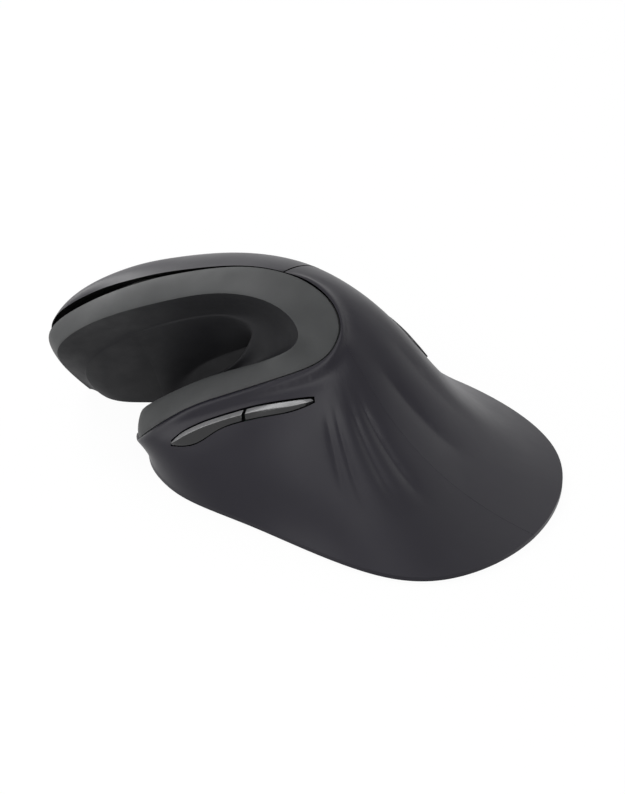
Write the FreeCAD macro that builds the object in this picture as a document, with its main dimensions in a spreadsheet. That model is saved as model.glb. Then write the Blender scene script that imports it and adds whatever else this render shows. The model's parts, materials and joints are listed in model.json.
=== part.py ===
import math
import os
import re

import FreeCAD
import Part
from FreeCAD import Placement, Rotation, Vector

# A right-handed upright mouse: a tall finger wall on the right, a thumb groove open to the front,
# a low shelf on the left with two thumb buttons, and a wide round skirt behind the palm.
# +Y points to the front, +X to the right, +Z up; the origin is the middle of the footprint.
# Lengths are millimetres and angles are degrees.

doc = FreeCAD.newDocument("ergonomic_mouse")
os.makedirs("parts", exist_ok=True)

SIZES = {
    # body
    "body_length": 147.3, "body_width": 90.1, "body_height": 59.1,
    "shell_wall": 2.0, "cradle_wall": 2.6, "button_wall": 1.8,
    "feet_thickness": 0.8, "plate_thickness": 2.0, "rim_height": 1.3,
    # gaps
    "seam_gap": 0.35, "panel_gap": 0.45, "piece_clearance": 0.3, "running_gap": 0.05,
    "nose_gap": 3.0, "thumb_gap": 0.65,
    # finger controls
    "seam_place": 7.13, "deck_margin": 0.8, "wheel_radius": 9.5, "wheel_width": 5.4, "wheel_show": 2.0,
    "tyre_thickness": 1.6, "axle_radius": 1.2, "carrier_wall": 1.4, "carrier_length": 8.0,
    "switch_length": 12.8, "switch_width": 5.8, "switch_height": 6.4, "plunger_height": 0.5,
    "click_travel": 0.4, "thumb_travel": 0.5, "button_rise": 0.6,
    "hinge_depth": 3.6, "hinge_radius": 1.1, "hinge_length": 7.0, "hinge_setback": 2.0,
    # thumb controls
    "bevel_width": 1.6, "bevel_rise": 0.85, "lower_rise": 0.15,
    "thumb_board_depth": 9.0, "thumb_board_length": 34.0, "thumb_board_width": 8.0,
    "board_thickness": 1.2, "tact_width": 6.0, "tact_height": 4.3, "stem_radius": 1.2,
    # boards, sensor and power
    "board_x": 10.5, "board_y": 33.3, "board_length": 30.0, "board_width": 20.0,
    "board_lift": 3.6, "post_radius": 1.7, "screw_radius": 0.9,
    "lens_length": 19.0, "lens_width": 11.4, "sensor_length": 12.0, "sensor_width": 10.0,
    "sensor_height": 2.4, "sensor_y": 26.8, "aperture": 9.0,
    "cell_radius": 5.25, "cell_length": 43.5, "cell_nub": 1.0, "tray_x": 5.0, "tray_gap": 1.45,
    "tray_wall": 1.2, "tray_height": 10.5, "contact_thickness": 0.4,
    "door_thickness": 1.5, "pin_radius": 0.4, "pin_length": 0.8,
    "receiver_x": 22.3, "receiver_y": -2.2, "receiver_length": 18.6, "receiver_width": 14.4,
    "receiver_height": 6.0, "plug_length": 12.0, "dock_wall": 1.0,
    "power_x": -24.0, "power_y": -12.2, "power_length": 8.6, "power_width": 3.6,
    "power_height": 3.4, "knob_length": 2.0, "knob_width": 1.5, "knob_travel": 2.0,
    "boss_radius": 2.6, "screw_head_radius": 2.3, "screw_head_height": 1.2, "screw_length": 6.0,
    "foot_radius": 6.0, "badge_rise": 0.5, "badge_length": 13.0, "badge_width": 13.0, "badge_corner": 2.5,
}


def make_sheet(sizes):
    table = doc.addObject("Spreadsheet::Sheet", "Sizes")
    for row, (name, value) in enumerate(sizes.items(), start=1):
        table.set(f"A{row}", name)
        table.set(f"B{row}", str(value))
        table.setAlias(f"B{row}", name)
    doc.recompute()
    return table


sheet = make_sheet(SIZES)


def size(name):
    return float(sheet.get(name))


# The styling rails are drawn on a body of this size, and stretch with the driving dimensions
DRAWN_LENGTH = 147.3
DRAWN_WIDTH = 90.1
DRAWN_HEIGHT = 59.1

STRETCH = Vector(
    size("body_width") / DRAWN_WIDTH,
    size("body_length") / DRAWN_LENGTH,
    size("body_height") / DRAWN_HEIGHT,
)

RIM_BOTTOM = size("feet_thickness")
RIM_TOP = RIM_BOTTOM + size("rim_height")
PLATE_TOP = RIM_BOTTOM + size("plate_thickness")
DOWN_RIGHT = Vector(1, 0, -1).normalize()


def rail(points):
    """A smooth curve through points given as (station, x, y, z)."""
    curve = Part.BSplineCurve()
    places = [Vector(x * STRETCH.x, y * STRETCH.y, z * STRETCH.z) for _, x, y, z in points]
    curve.interpolate(Points=places, Parameters=[float(point[0]) for point in points])
    return curve


def dial(points):
    """Smooth numbers along the stations, given as (station, a, b, c)."""
    curve = Part.BSplineCurve()
    values = [Vector(*point[1:]) for point in points]
    curve.interpolate(Points=values, Parameters=[float(point[0]) for point in points])
    return curve


# Stations run round the body from the front of the shelf (0), back along the left flank (5),
# round the skirt (10 to 14), forward on the right side (18) to the nose (22) and its foot (24)
LAST_STATION = 24.0

FOOTPRINT = rail([
    (0, -16.0, 43.13, 0), (1, -25.4, 40.43, 0), (2, -34.0, 34.83, 0), (3, -39.6, 27.23, 0),
    (4, -43.0, 17.83, 0), (6, -43.9, -6.17, 0), (8, -44.6, -36.17, 0), (9, -42.4, -51.17, 0),
    (10, -34.8, -63.17, 0), (11, -20.5, -71.17, 0), (12, -3.0, -73.67, 0), (13, 15.0, -69.97, 0),
    (14, 30.0, -60.17, 0), (16, 44.2, -27.17, 0), (18, 44.0, 3.83, 0), (20, 34.0, 32.83, 0),
    (22, 14.5, 61.33, 0), (23, 2.5, 68.83, 0), (24, -9.5, 70.83, 0),
])

LIP = rail([
    (0, -16.0, 43.33, -2.5), (1, -28.2, 41.43, 2.2), (2, -35.8, 36.23, 9.2), (3, -36.8, 29.33, 16.8),
    (4, -33.8, 20.63, 24.2), (5, -30.2, 11.43, 29.6), (6, -26.4, 2.63, 34.3), (7, -22.8, -4.17, 37.8),
    (8, -19.4, -9.57, 40.8), (9, -16.6, -12.57, 43.4), (10, -14.3, -13.67, 45.6), (11, -12.5, -13.87, 47.6),
    (12, -10.6, -13.37, 49.8), (13, -8.4, -10.97, 52.8), (14, -6.6, -5.77, 55.9), (15, -6.2, 2.83, 58.2),
    (16, -8.6, 13.03, 59.1), (17, -12.0, 23.23, 57.7), (18, -15.8, 33.43, 54.6), (19, -19.0, 43.03, 50.6),
    (20, -22.2, 52.63, 45.4), (21, -25.6, 62.23, 38.9), (22, -30.0, 71.43, 28.9), (23, -22.6, 72.83, 13.3),
    (24, -10.5, 71.03, -1.0),
])

# The way that the skin faces, seen from above, then its slope at the lip
FACING = dial([
    (0, 80, -30, 0), (1, 105, -28, 0), (2, 140, -26, 0), (3, 170, -25, 0), (4, 192, -28, 0),
    (6, 205, -40, 0), (8, 226, -58, 0), (10, 247, -66, 0), (12, 277, -58, 0), (13, 291, -45, 0),
    (14, 303, -22, 0), (15, 313, -12, 0), (16, 323, -5, 0), (18, 334, 12, 0), (20, 342, 30.5, 0),
    (22, 366, 54, 0), (24, 420, -10, 0),
])

# Slope at the foot, foot handle and lip handle, as shares of the chord
SECTION = dial([
    (0, 80, 0.35, 0.35), (3, 97, 0.40, 0.35), (5, 86, 0.35, 0.30), (6.5, 62, 0.38, 0.30),
    (8, 34, 0.42, 0.32), (10, 16, 0.45, 0.34), (12, 9, 0.45, 0.34), (14, 12, 0.42, 0.38),
    (16, 28, 0.38, 0.42), (18, 55, 0.35, 0.42), (20, 68, 0.35, 0.40), (22, 80, 0.35, 0.35),
    (24, 84, 0.35, 0.35),
])

# The rubber cradle inside the lip: its first ridge, its second ridge and the valley of the groove
RIDGE = rail([
    (0, -13.0, 44.33, -1.5), (1, -22.4, 42.83, 7.2), (2, -29.6, 39.43, 14.4), (3, -29.6, 31.83, 21.6),
    (4, -26.8, 22.83, 28.2), (5, -23.8, 14.23, 33.2), (6, -22.2, 7.63, 36.8), (7, -21.3, 2.03, 40.4),
    (8, -20.9, -2.37, 43.8), (9, -20.7, -5.07, 46.8), (10, -20.4, -6.07, 49.0), (11, -20.0, -6.07, 50.8),
    (12, -19.6, -5.07, 52.6), (13, -19.2, -2.77, 54.5), (14, -18.9, 1.23, 56.0), (15, -18.9, 6.83, 56.6),
    (16, -19.7, 14.83, 55.9), (17, -21.7, 24.03, 53.6), (18, -24.6, 33.23, 50.0), (20, -30.4, 50.23, 41.6),
    (21, -33.0, 58.03, 36.2), (22, -34.0, 65.23, 27.8), (23, -24.6, 70.43, 13.6), (24, -13.2, 68.83, -1.5),
])

SECOND = rail([
    (0, -10.5, 45.63, -1.5), (2, -20.5, 39.33, 12.0), (4, -19.6, 26.33, 22.6), (6, -18.4, 18.63, 28.8),
    (8, -17.0, 14.63, 34.0), (10, -15.6, 13.03, 38.6), (12, -14.6, 13.03, 41.5), (13, -14.1, 14.43, 42.6),
    (14, -13.9, 17.03, 43.0), (16, -14.8, 25.23, 42.0), (18, -18.6, 37.43, 37.2), (20, -22.2, 49.83, 29.8),
    (22, -24.8, 62.43, 16.6), (23, -20.0, 64.83, 7.0), (24, -13.2, 63.43, -1.5),
])

VALLEY = rail([
    (0, -8.5, 47.33, -2.5), (0.17, -9.6, 40.33, 7.6), (0.33, -9.4, 34.33, 14.9), (0.5, -8.8, 28.33, 20.4),
    (0.67, -8.2, 23.83, 24.4), (0.83, -7.6, 20.33, 27.6), (1, -7.0, 17.33, 31.0),
])
WALL_FOOT = rail([
    (0, -8.5, 47.33, -2.5), (0.08, -8.5, 49.03, -4.6), (0.2, -9.0, 51.03, -6.2), (0.45, -10.6, 54.83, -6.6),
    (0.75, -12.0, 59.43, -5.0), (1, -12.6, 62.83, -2.5),
])
STERN_STATION = 12.0
NOTCH_STATION = 19.6

BEAD_HEIGHT = 1.1
BEAD_PLACE = 1.4
BEAD_WIDTH = 1.3
BEAD_FURROW = 0.7
FURROW_PLACE = 4.7
FURROW_WIDTH = 1.9
BEAD_FIRST = 2.6
BEAD_LAST = 15.5

PLEAT_DEPTH = 0.9
PLEAT_STATIONS = (8.45, 8.95, 10.0, 10.8, 12.8, 13.8)
PLEAT_WIDTH = 0.2


def smooth_step(low, high, value):
    part = min(max((value - low) / (high - low), 0.0), 1.0)
    return part * part * (3 - 2 * part)


def hump(value, place, width):
    return math.exp(-((value - place) / width) ** 2)


def bezier(poles, share):
    rest = 1 - share
    weights = (rest ** 3, 3 * rest * rest * share, 3 * rest * share * share, share ** 3)
    place = Vector()
    for weight, pole in zip(weights, poles):
        place += pole * weight
    return place


def section_poles(station):
    """The slice of the body from the footprint up to the lip at one station, and its chord."""
    foot = FOOTPRINT.value(station)
    foot.z = RIM_TOP
    lip = LIP.value(station)
    chord = (lip - foot).Length
    bearing, lip_slope, _ = FACING.value(station)
    outward = Vector(math.cos(math.radians(bearing)), math.sin(math.radians(bearing)), 0)
    foot_slope, foot_handle, lip_handle = SECTION.value(station)
    climb = math.radians(foot_slope)
    fall = math.radians(lip_slope)
    foot_way = Vector(0, 0, math.sin(climb)) - outward * math.cos(climb)
    lip_way = Vector(0, 0, math.sin(fall)) + outward * math.cos(fall)
    poles = [
        foot,
        foot + foot_way * (foot_handle * chord),
        lip + lip_way * (lip_handle * chord),
        lip,
    ]
    return poles, chord


def crease(value, place, width):
    return math.exp(-abs(value - place) / width)


def relief(station, share, chord):
    """The raised bead along the lip, the furrow outside it and the pleats below the neck."""
    below = (1 - share) * chord
    ends = smooth_step(BEAD_FIRST, BEAD_FIRST + 2.0, station)
    ends *= 1 - smooth_step(BEAD_LAST - 0.8, BEAD_LAST, station)
    bead = BEAD_HEIGHT * hump(below, BEAD_PLACE, BEAD_WIDTH)
    bead -= BEAD_FURROW * hump(below, FURROW_PLACE, FURROW_WIDTH)
    pleats = sum(crease(station, place, PLEAT_WIDTH) for place in PLEAT_STATIONS)
    fade = smooth_step(0.25, 0.45, share) * (1 - smooth_step(0.6, 0.82, share))
    return bead * ends - PLEAT_DEPTH * pleats * fade


def skin_frame(station, share):
    """A point of the plain skin, the way out of it and the chord of its slice."""
    nudge = 0.02
    poles, chord = section_poles(station)
    place = bezier(poles, share)
    ahead, _ = section_poles(station + nudge)
    behind, _ = section_poles(station - nudge)
    along = bezier(ahead, share) - bezier(behind, share)
    upward = bezier(poles, share + nudge) - bezier(poles, share - nudge)
    return place, upward.cross(along).normalize() * -1, chord


def skin(station, share, depth=0.0):
    """A point of the skin, or one that lies deeper than the skin by depth."""
    place, outward, chord = skin_frame(station, share)
    return place + outward * (relief(station, share, chord) - depth)


def greville(spans):
    """The places at which a clamped cubic with even knots is sampled."""
    return [0.0, 1 / 3] + [float(place) for place in range(1, spans)] + [spans - 1 / 3, float(spans)]


def spline_face(poles):
    """A smooth face steered by a grid of poles."""
    rows = len(poles)
    columns = len(poles[0])
    surface = Part.BSplineSurface()
    surface.buildFromPolesMultsKnots(
        poles,
        [4] + [1] * (rows - 4) + [4],
        [4] + [1] * (columns - 4) + [4],
        [float(knot) for knot in range(rows - 2)],
        [float(knot) for knot in range(columns - 2)],
        False, False, 3, 3,
    )
    return surface.toShape()


def edge_face(first, second):
    """The narrow face between two matching rows of poles."""
    count = len(first)
    surface = Part.BSplineSurface()
    surface.buildFromPolesMultsKnots(
        [first, second], [2, 2], [4] + [1] * (count - 4) + [4],
        [0.0, 1.0], [float(knot) for knot in range(count - 2)],
        False, False, 1, 3,
    )
    return surface.toShape()


def sewn_solid(faces):
    shell = Part.Shell(faces)
    if not shell.isClosed():
        shell = Part.Shell([face for face in faces])
        shell.sewShape()
    solid = Part.Solid(shell)
    if solid.Volume < 0:
        solid.reverse()
    return solid


def thick_patch(outer, inner):
    """A solid between two matching grids of poles."""
    faces = [spline_face(outer), spline_face(inner)]
    faces.append(edge_face(outer[0], inner[0]))
    faces.append(edge_face(outer[-1], inner[-1]))
    faces.append(edge_face([row[0] for row in outer], [row[0] for row in inner]))
    faces.append(edge_face([row[-1] for row in outer], [row[-1] for row in inner]))
    return sewn_solid(faces)


def spread(first, last, spans):
    return [first + (last - first) * place / spans for place in greville(spans)]


def stations(first, last):
    """Station samples, close together where the skin is pleated."""
    spans = max(6, round((last - first) / 0.125))
    return spread(first, last, spans)


LEFT_FIRST = 0.6
LEFT_LAST = 11.8
PARTING_GAP = 0.003
RIGHT_LAST = 23.6
COLUMNS = 26
FLOOR_PARTS = (0.0, 0.25, 0.5, 0.75, 0.92, 1.0)


def inward_step(station, share, wall):
    """How the inner side of a wall lies from its skin: square to it, but leaning at the lip."""
    _, outward, _ = skin_frame(station, share)
    square = outward * -wall
    lean = DOWN_RIGHT * (wall / max(-outward.dot(DOWN_RIGHT), 0.5))
    blend = smooth_step(0.86, 1.0, share)
    return square * (1 - blend) + lean * blend


def inner_skin(station, share, wall):
    return skin(station, share) + inward_step(station, share, wall)


def clear_share(station, wall, level):
    """The share of the slice from which the inner side stays above a level."""
    low = 0.0
    for step in range(1, 21):
        high = step / 20
        if inner_skin(station, high, wall).z > level:
            break
        low = high
    else:
        return 0.8
    for _ in range(12):
        middle = (low + high) / 2
        if inner_skin(station, middle, wall).z > level:
            high = middle
        else:
            low = middle
    return min(high, 0.8)


def rim_row(station, wall):
    """The inner side of a shell: a flat rim on the floor side, a short upright, then the wall."""
    level = PLATE_TOP + size("piece_clearance")
    first = clear_share(station, wall, level)
    corner = inner_skin(station, first, wall)
    foot = section_poles(station)[0][0]
    outer = Vector(foot.x, foot.y, RIM_BOTTOM)
    inner = Vector(corner.x, corner.y, RIM_BOTTOM)
    row = [outer + (inner - outer) * part for part in FLOOR_PARTS]
    row.append(inner + Vector(0, 0, (corner.z - RIM_BOTTOM) * 0.3))
    row.append(inner + Vector(0, 0, (corner.z - RIM_BOTTOM) * 0.8))
    rest = spread(0, 1, COLUMNS - len(row) - 3)
    row += [inner_skin(station, first + (1 - first) * part, wall) for part in rest]
    return row


def outer_row(station, first=0.0, last=1.0):
    return [skin(station, first + (last - first) * part) for part in spread(0, 1, COLUMNS - 3)]


def shell_patch(first, last, wall):
    """A length of the outer shell, from its rim to the lip."""
    places = stations(first, last)
    return thick_patch([outer_row(place) for place in places], [rim_row(place, wall) for place in places])


def under_way(station, across):
    """The way from the face of the cradle to its under side, turned back at both front ends."""
    shelf_end = (1 - smooth_step(0.0, 3.0, station)) * (1 - across)
    nose = smooth_step(20.0, 22.8, station)
    way = DOWN_RIGHT * (1 - shelf_end - nose) + SHELF_END_WAY * shelf_end + NOSE_WAY * nose
    return way.normalize()


def across_valley(station):
    """The way in which a slice reaches the valley, shared with the slice that meets it there."""
    if station >= NOTCH_STATION:
        return Vector()
    stretch = NOTCH_STATION - STERN_STATION
    if station < STERN_STATION:
        share = min(station / STERN_STATION, 0.99)
        other = STERN_STATION + stretch * (1 - share)
    else:
        share = min((NOTCH_STATION - station) / stretch, 0.99)
        other = STERN_STATION * share
    way = (SECOND.value(other) - SECOND.value(station)).normalize()
    ends = smooth_step(0.0, 0.12, share) * (1 - smooth_step(0.8, 0.99, share))
    return way * (MEETING * ends)


def cradle_row(station, valley, depth):
    """The cradle from its edge under the lip, over both ridges, down into the valley."""
    lip = LIP.value(station)
    ridge = RIDGE.value(station)
    second = SECOND.value(station)
    strip = ridge - lip
    edge = lip + strip.normalize() * size("seam_gap")
    strip = ridge - edge
    crown = CROWN.value(station)
    step = second - ridge
    wall = valley - second
    hollow = DOWN_RIGHT * BOWL.value(station).x
    dip = DOWN_RIGHT * STEP_DIP
    meeting = across_valley(station) * wall.Length
    row = [
        edge,
        edge + strip * 0.15 + crown * 0.35,
        edge + strip * 0.45 + crown * 0.5,
        edge + strip * 0.80 + crown * 0.4,
        edge + strip * 0.96 + crown * 0.2,
        ridge,
        ridge + step * 0.12 + dip * 0.45,
        ridge + step * 0.32 + dip,
        ridge + step * 0.62 + dip * 1.05,
        ridge + step * 0.87 + dip * 0.5,
        second - step * 0.03 + crown * 0.3,
        second + wall * 0.05 + crown * 0.1,
        second + wall * 0.18 + hollow * 0.45,
        second + wall * 0.42 + hollow * 0.9,
        second + wall * 0.70 + hollow * 0.9,
        second + wall * 0.93 + hollow * 0.25,
        valley,
    ]
    settled = meeting.Length / max(wall.Length, 1) / MEETING
    row[-2] = row[-2] * (1 - settled) + (valley - meeting) * settled
    last = len(row) - 1
    return [place + under_way(station, index / last) * depth for index, place in enumerate(row)]


STEP_DIP = 2.8
MEETING = 0.12
CROWN = dial([
    (0, -0.1, 0.9, 0.2), (1, -0.9, 1.7, 0.5), (2, -1.3, 1.2, 0.9), (3.2, -0.72, 0.1, 0.7), (5, -0.7, 0, 0.7),
    (13, -0.68, 0, 0.72), (21, -0.7, 0, 0.7), (22.5, -0.5, 0.2, 0.2), (24, -0.4, 0.5, 0),
])
SHELF_END_WAY = Vector(0.4, -0.85, -0.35)
NOSE_WAY = Vector(0.8, -0.55, 0.25)
BOWL = dial([
    (0, 0, 0, 0), (4, 2.5, 0, 0), (8, 3.5, 0, 0), (12, 4.0, 0, 0), (16, 5.5, 0, 0), (19, 4.5, 0, 0),
    (21, 2.5, 0, 0), (24, 0.1, 0, 0),
])
LEG_SPANS = 60
TOE_SPANS = 24


def cradle_grids(depth):
    """The shelf side, the finger side and the toe of the cradle as grids of poles."""
    shelf = []
    finger = []
    for part in spread(0, 1, LEG_SPANS):
        shelf.append(cradle_row(STERN_STATION * part, VALLEY.value(part), depth))
        station = STERN_STATION + (NOTCH_STATION - STERN_STATION) * part
        finger.append(cradle_row(station, VALLEY.value(1 - part), depth))
    toe = []
    for part in spread(0, 1, TOE_SPANS):
        station = NOTCH_STATION + (LAST_STATION - NOTCH_STATION) * part
        toe.append(cradle_row(station, WALL_FOOT.value(part), depth))
    return shelf, finger, toe


def column(grid, place):
    return [row[place] for row in grid]


RIDGE_COLUMN = 5


def cradle_part(first, last, wall):
    """A band of the cradle between two columns of its poles; the last band ends in the valley."""
    outer = [[row[first:last] for row in grid] for grid in cradle_grids(0.0)]
    inner = [[row[first:last] for row in grid] for grid in cradle_grids(wall * math.sqrt(2))]
    faces = [spline_face(grid) for grid in outer + inner]
    pairs = list(zip(outer, inner))
    faces += [edge_face(column(above, 0), column(below, 0)) for above, below in pairs]
    closed = pairs[2:] if last is None else pairs
    faces += [edge_face(column(above, -1), column(below, -1)) for above, below in closed]
    faces.append(edge_face(outer[0][0], inner[0][0]))
    faces.append(edge_face(outer[2][-1], inner[2][-1]))
    solid = sewn_solid(faces)
    return solid.common(Part.makeBox(200, 200, 100, Vector(-100, -100, RIM_BOTTOM)))


def seat(station, share, depth=0.0):
    """A place on or under the skin: local Z points out of the body, Y ahead and X to the right."""
    _, outward, _ = skin_frame(station, share)
    spot = skin(station, share) - outward * depth
    ahead = Vector(0, 1, 0)
    front = (ahead - outward * outward.dot(ahead)).normalize()
    side = front.cross(outward)
    matrix = FreeCAD.Matrix(
        side.x, front.x, outward.x, spot.x,
        side.y, front.y, outward.y, spot.y,
        side.z, front.z, outward.z, spot.z,
        0, 0, 0, 1)
    return Placement(matrix)


def seen_from(place, station, share):
    """A point of the skin in the frame of a seat."""
    return place.inverse().multVec(skin(station, share))


def band(first, last, low, high, rise, wall, leaning=False, columns=16):
    """A plate that follows the skin between two stations and two shares that vary with station."""
    outer = []
    inner = []
    for station in stations(first, last):
        start = low(station)
        stop = high(station)
        shares = [start + (stop - start) * part for part in spread(0, 1, columns - 3)]
        outer.append([skin(station, share, -rise) for share in shares])
        if leaning:
            inner.append([inner_skin(station, share, wall) for share in shares])
        else:
            inner.append([skin(station, share, wall) for share in shares])
    return thick_patch(outer, inner)


def steady(value):
    return lambda station: value


def shifted(edge, distance):
    """An edge moved along the slice by a distance."""
    return lambda station: edge(station) + distance / section_poles(station)[1]


def slab(back, front):
    return Part.makeBox(400, front - back, 200, Vector(-200, back, -50))


# Finger panels: shares of the slice at their edges, and the fixed console between them
PANEL_FOOT = steady(0.27)
CONSOLE_LOW = steady(0.465)
CONSOLE_HIGH = steady(0.595)
CONSOLE_MIDDLE = 0.53
PANEL_FIRST = 12.6
PANEL_LAST = 22.6
NOSE_CLEARANCE = 0.12
SEAM = size("seam_place") * STRETCH.y
PANEL_FRONT = 100.0

WHEEL_STATION = 19.5
INDEX_SPOT = (19.35, 0.683)
MIDDLE_SPOT = (19.9, 0.39)
DPI_SPOT = (18.35, CONSOLE_MIDDLE)
DECK_BACK_POST = (17.82, CONSOLE_MIDDLE)
DECK_FRONT_POST = (20.75, CONSOLE_MIDDLE)
DECK_POST_RADIUS = 1.7

# Top and bottom edges of the pair of thumb buttons, as shares of the slice by station
THUMB_TOP_DIAL = dial([
    (3.6, 0.570, 0, 0), (3.78, 0.640, 0, 0), (3.92, 0.685, 0, 0), (4.15, 0.728, 0, 0), (4.45, 0.764, 0, 0),
    (4.9, 0.795, 0, 0), (5.4, 0.815, 0, 0), (6.0, 0.826, 0, 0), (6.8, 0.830, 0, 0), (7.5, 0.831, 0, 0),
    (8.1, 0.826, 0, 0),
])
THUMB_BOTTOM_DIAL = dial([
    (3.6, 0.566, 0, 0), (3.78, 0.556, 0, 0), (4.0, 0.548, 0, 0), (4.25, 0.553, 0, 0), (4.5, 0.582, 0, 0),
    (4.75, 0.635, 0, 0), (5.0, 0.685, 0, 0), (5.3, 0.714, 0, 0), (5.8, 0.734, 0, 0), (6.4, 0.748, 0, 0),
    (7.0, 0.762, 0, 0), (7.5, 0.785, 0, 0), (8.1, 0.816, 0, 0),
])
THUMB_FIRST = 3.72
THUMB_SPLIT = 5.66
THUMB_LAST = 7.95
SPLIT_GAP = 0.05
END_GAP = 0.06
THUMB_MIDDLE = (5.5, 0.73)
FORWARD_SPOT = (4.85, 0.725)
BACK_SPOT = (6.35, 0.785)
THUMB_ARMS = [(3.9, 0.45), (7.3, 0.70)]
THUMB_ARM_RADIUS = 1.6

BADGE_SPOT = (15.55, 0.455)
BADGE_STATIONS = (14.0, 17.2)
BADGE_SINK = 0.6

# Stations of the case screws and their distance from the rim
LEFT_BOSSES = [(3.4, 3.6), (8.6, 6.0)]
RIGHT_BOSSES = [(13.4, 7.0), (17.2, 3.6), (21.6, 3.6)]
BOSS_TOP = 13.0


def thumb_top(station):
    return THUMB_TOP_DIAL.value(station).x


def thumb_bottom(station):
    return THUMB_BOTTOM_DIAL.value(station).x


def hood_top(station):
    """The upper edge of the index button: close to the cradle at the seam, open at the nose."""
    opening = size("nose_gap") * smooth_step(15.6, 21.0, station)
    return 1 - opening / section_poles(station)[1]


def hinge_seat(share):
    """The axis of a finger panel: under the shell, a little behind the seam."""
    low, high = 13.0, 18.5
    while high - low > 1e-4:
        middle = (low + high) / 2
        if skin(middle, share).y < SEAM - size("hinge_setback"):
            low = middle
        else:
            high = middle
    return seat(middle, share, size("hinge_depth"))


def finger_panel(low, high, tongue_low, tongue_high, hinge, leaning):
    """A panel in front of the seam with a tongue under the shell that ends in a round hinge."""
    wall = size("button_wall")
    half = size("panel_gap") / 2
    panel = band(PANEL_FIRST, PANEL_LAST, low, high, 0.0, wall, leaning)
    panel = panel.common(slab(SEAM + half, PANEL_FRONT))
    under = size("shell_wall") + size("piece_clearance")
    tongue = band(13.0, 18.5, steady(tongue_low), steady(tongue_high), -under, under + 1.4)
    root = band(13.0, 18.5, steady(tongue_low), steady(tongue_high), -wall * 0.5, under + 1.4)
    tongue = tongue.common(slab(SEAM - 4.0, SEAM + 4.0))
    root = root.common(slab(SEAM + 1.5 * half, SEAM + 4.0))
    barrel = lying_cylinder(size("hinge_radius"), size("hinge_length"), hinge)
    return panel.fuse([tongue, root, barrel])


def panel_opening(low, high):
    gap = size("panel_gap")
    opening = band(PANEL_FIRST, PANEL_LAST + NOSE_CLEARANCE, shifted(low, -gap), high, 3.0, 5.0)
    return opening.common(slab(SEAM - gap / 2, PANEL_FRONT))


def lying_cylinder(radius, length, place, height=0.0):
    """A cylinder along the local X of a seat, centred on it."""
    rod = Part.makeCylinder(radius, length, Vector(-length / 2, 0, height), Vector(1, 0, 0))
    rod.Placement = place
    return rod


def post(place, spot, radius, low, high):
    """A round post along the local Z of a seat."""
    pin = Part.makeCylinder(radius, high - low, Vector(spot.x, spot.y, low))
    pin.Placement = place
    return pin


def block(place, length, width, spot, low, high):
    """A block along the local axes of a seat, centred on a spot."""
    corner = Vector(spot.x - length / 2, spot.y - width / 2, low)
    solid = Part.makeBox(length, width, high - low, corner)
    solid.Placement = place
    return solid


DECK = seat(WHEEL_STATION, CONSOLE_MIDDLE)
DECK_TOP = -13.0
WHEEL_HEIGHT = size("wheel_show") - size("wheel_radius")
INDEX_POINT = seen_from(DECK, *INDEX_SPOT)
MIDDLE_POINT = seen_from(DECK, *MIDDLE_SPOT)
DPI_POINT = seen_from(DECK, *DPI_SPOT)
DPI_SEAT = seat(*DPI_SPOT)
BACK_POST_POINT = seen_from(DECK, *DECK_BACK_POST)
FRONT_POST_POINT = seen_from(DECK, *DECK_FRONT_POST)
CLICK_REACH = size("click_travel") + size("running_gap")
PUSHER_TIP = DECK_TOP + size("switch_height") + size("plunger_height") + CLICK_REACH

THUMB = seat(*THUMB_MIDDLE)
THUMB_BOARD_TOP = -size("thumb_board_depth")
FORWARD_POINT = seen_from(THUMB, *FORWARD_SPOT)
BACK_POINT = seen_from(THUMB, *BACK_SPOT)
STEM_TIP = THUMB_BOARD_TOP + size("tact_height") + size("thumb_travel") + size("running_gap")


def rim_point(station, inset):
    """A place on the base plate, a distance inward from the inner side of the rim."""
    here = rim_row(station, size("shell_wall"))[len(FLOOR_PARTS) - 1]
    ahead = rim_row(station + 0.05, size("shell_wall"))[len(FLOOR_PARTS) - 1]
    along = (ahead - here).normalize()
    spot = here + Vector(-along.y, along.x, 0) * inset
    spot.z = 0
    return spot


def screw_boss(station, inset):
    """A hollow boss under the shell, trimmed to stay inside its outer face."""
    spot = rim_point(station, inset)
    boss = Part.makeCylinder(size("boss_radius"), BOSS_TOP - PLATE_TOP, spot + Vector(0, 0, PLATE_TOP))
    outside = band(station - 1.2, station + 1.2, steady(0.0), steady(0.6), 9.0, 0.9)
    hole = size("screw_radius") + size("running_gap")
    bore = Part.makeCylinder(hole, size("screw_length") + 0.5, spot + Vector(0, 0, RIM_BOTTOM))
    return boss.cut(outside), bore


def with_bosses(shell, bosses):
    for station, inset in bosses:
        boss, bore = screw_boss(station, inset)
        shell = shell.fuse(boss).cut(bore)
    return shell


STRIP = cradle_part(0, RIDGE_COLUMN + 1, size("cradle_wall"))
CRADLE = cradle_part(RIDGE_COLUMN, None, size("cradle_wall"))


def left_shell_shape():
    shell = shell_patch(LEFT_FIRST, LEFT_LAST - PARTING_GAP, size("shell_wall"))
    shell = shell.common(Part.makeBox(200, 200, 100, Vector(-100, -100, RIM_BOTTOM)))
    shell = shell.cut([STRIP, CRADLE])
    gap = size("thumb_gap")
    opening = band(
        THUMB_FIRST - END_GAP, THUMB_LAST + END_GAP,
        shifted(thumb_bottom, -gap / 2), shifted(thumb_top, gap), 3.0, 4.0)
    shell = shell.cut(opening)
    for spot in THUMB_ARMS:
        point = seen_from(THUMB, *spot)
        shell = shell.fuse(post(THUMB, point, THUMB_ARM_RADIUS, THUMB_BOARD_TOP, point.z - 0.9))
    return with_bosses(shell, LEFT_BOSSES)


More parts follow.
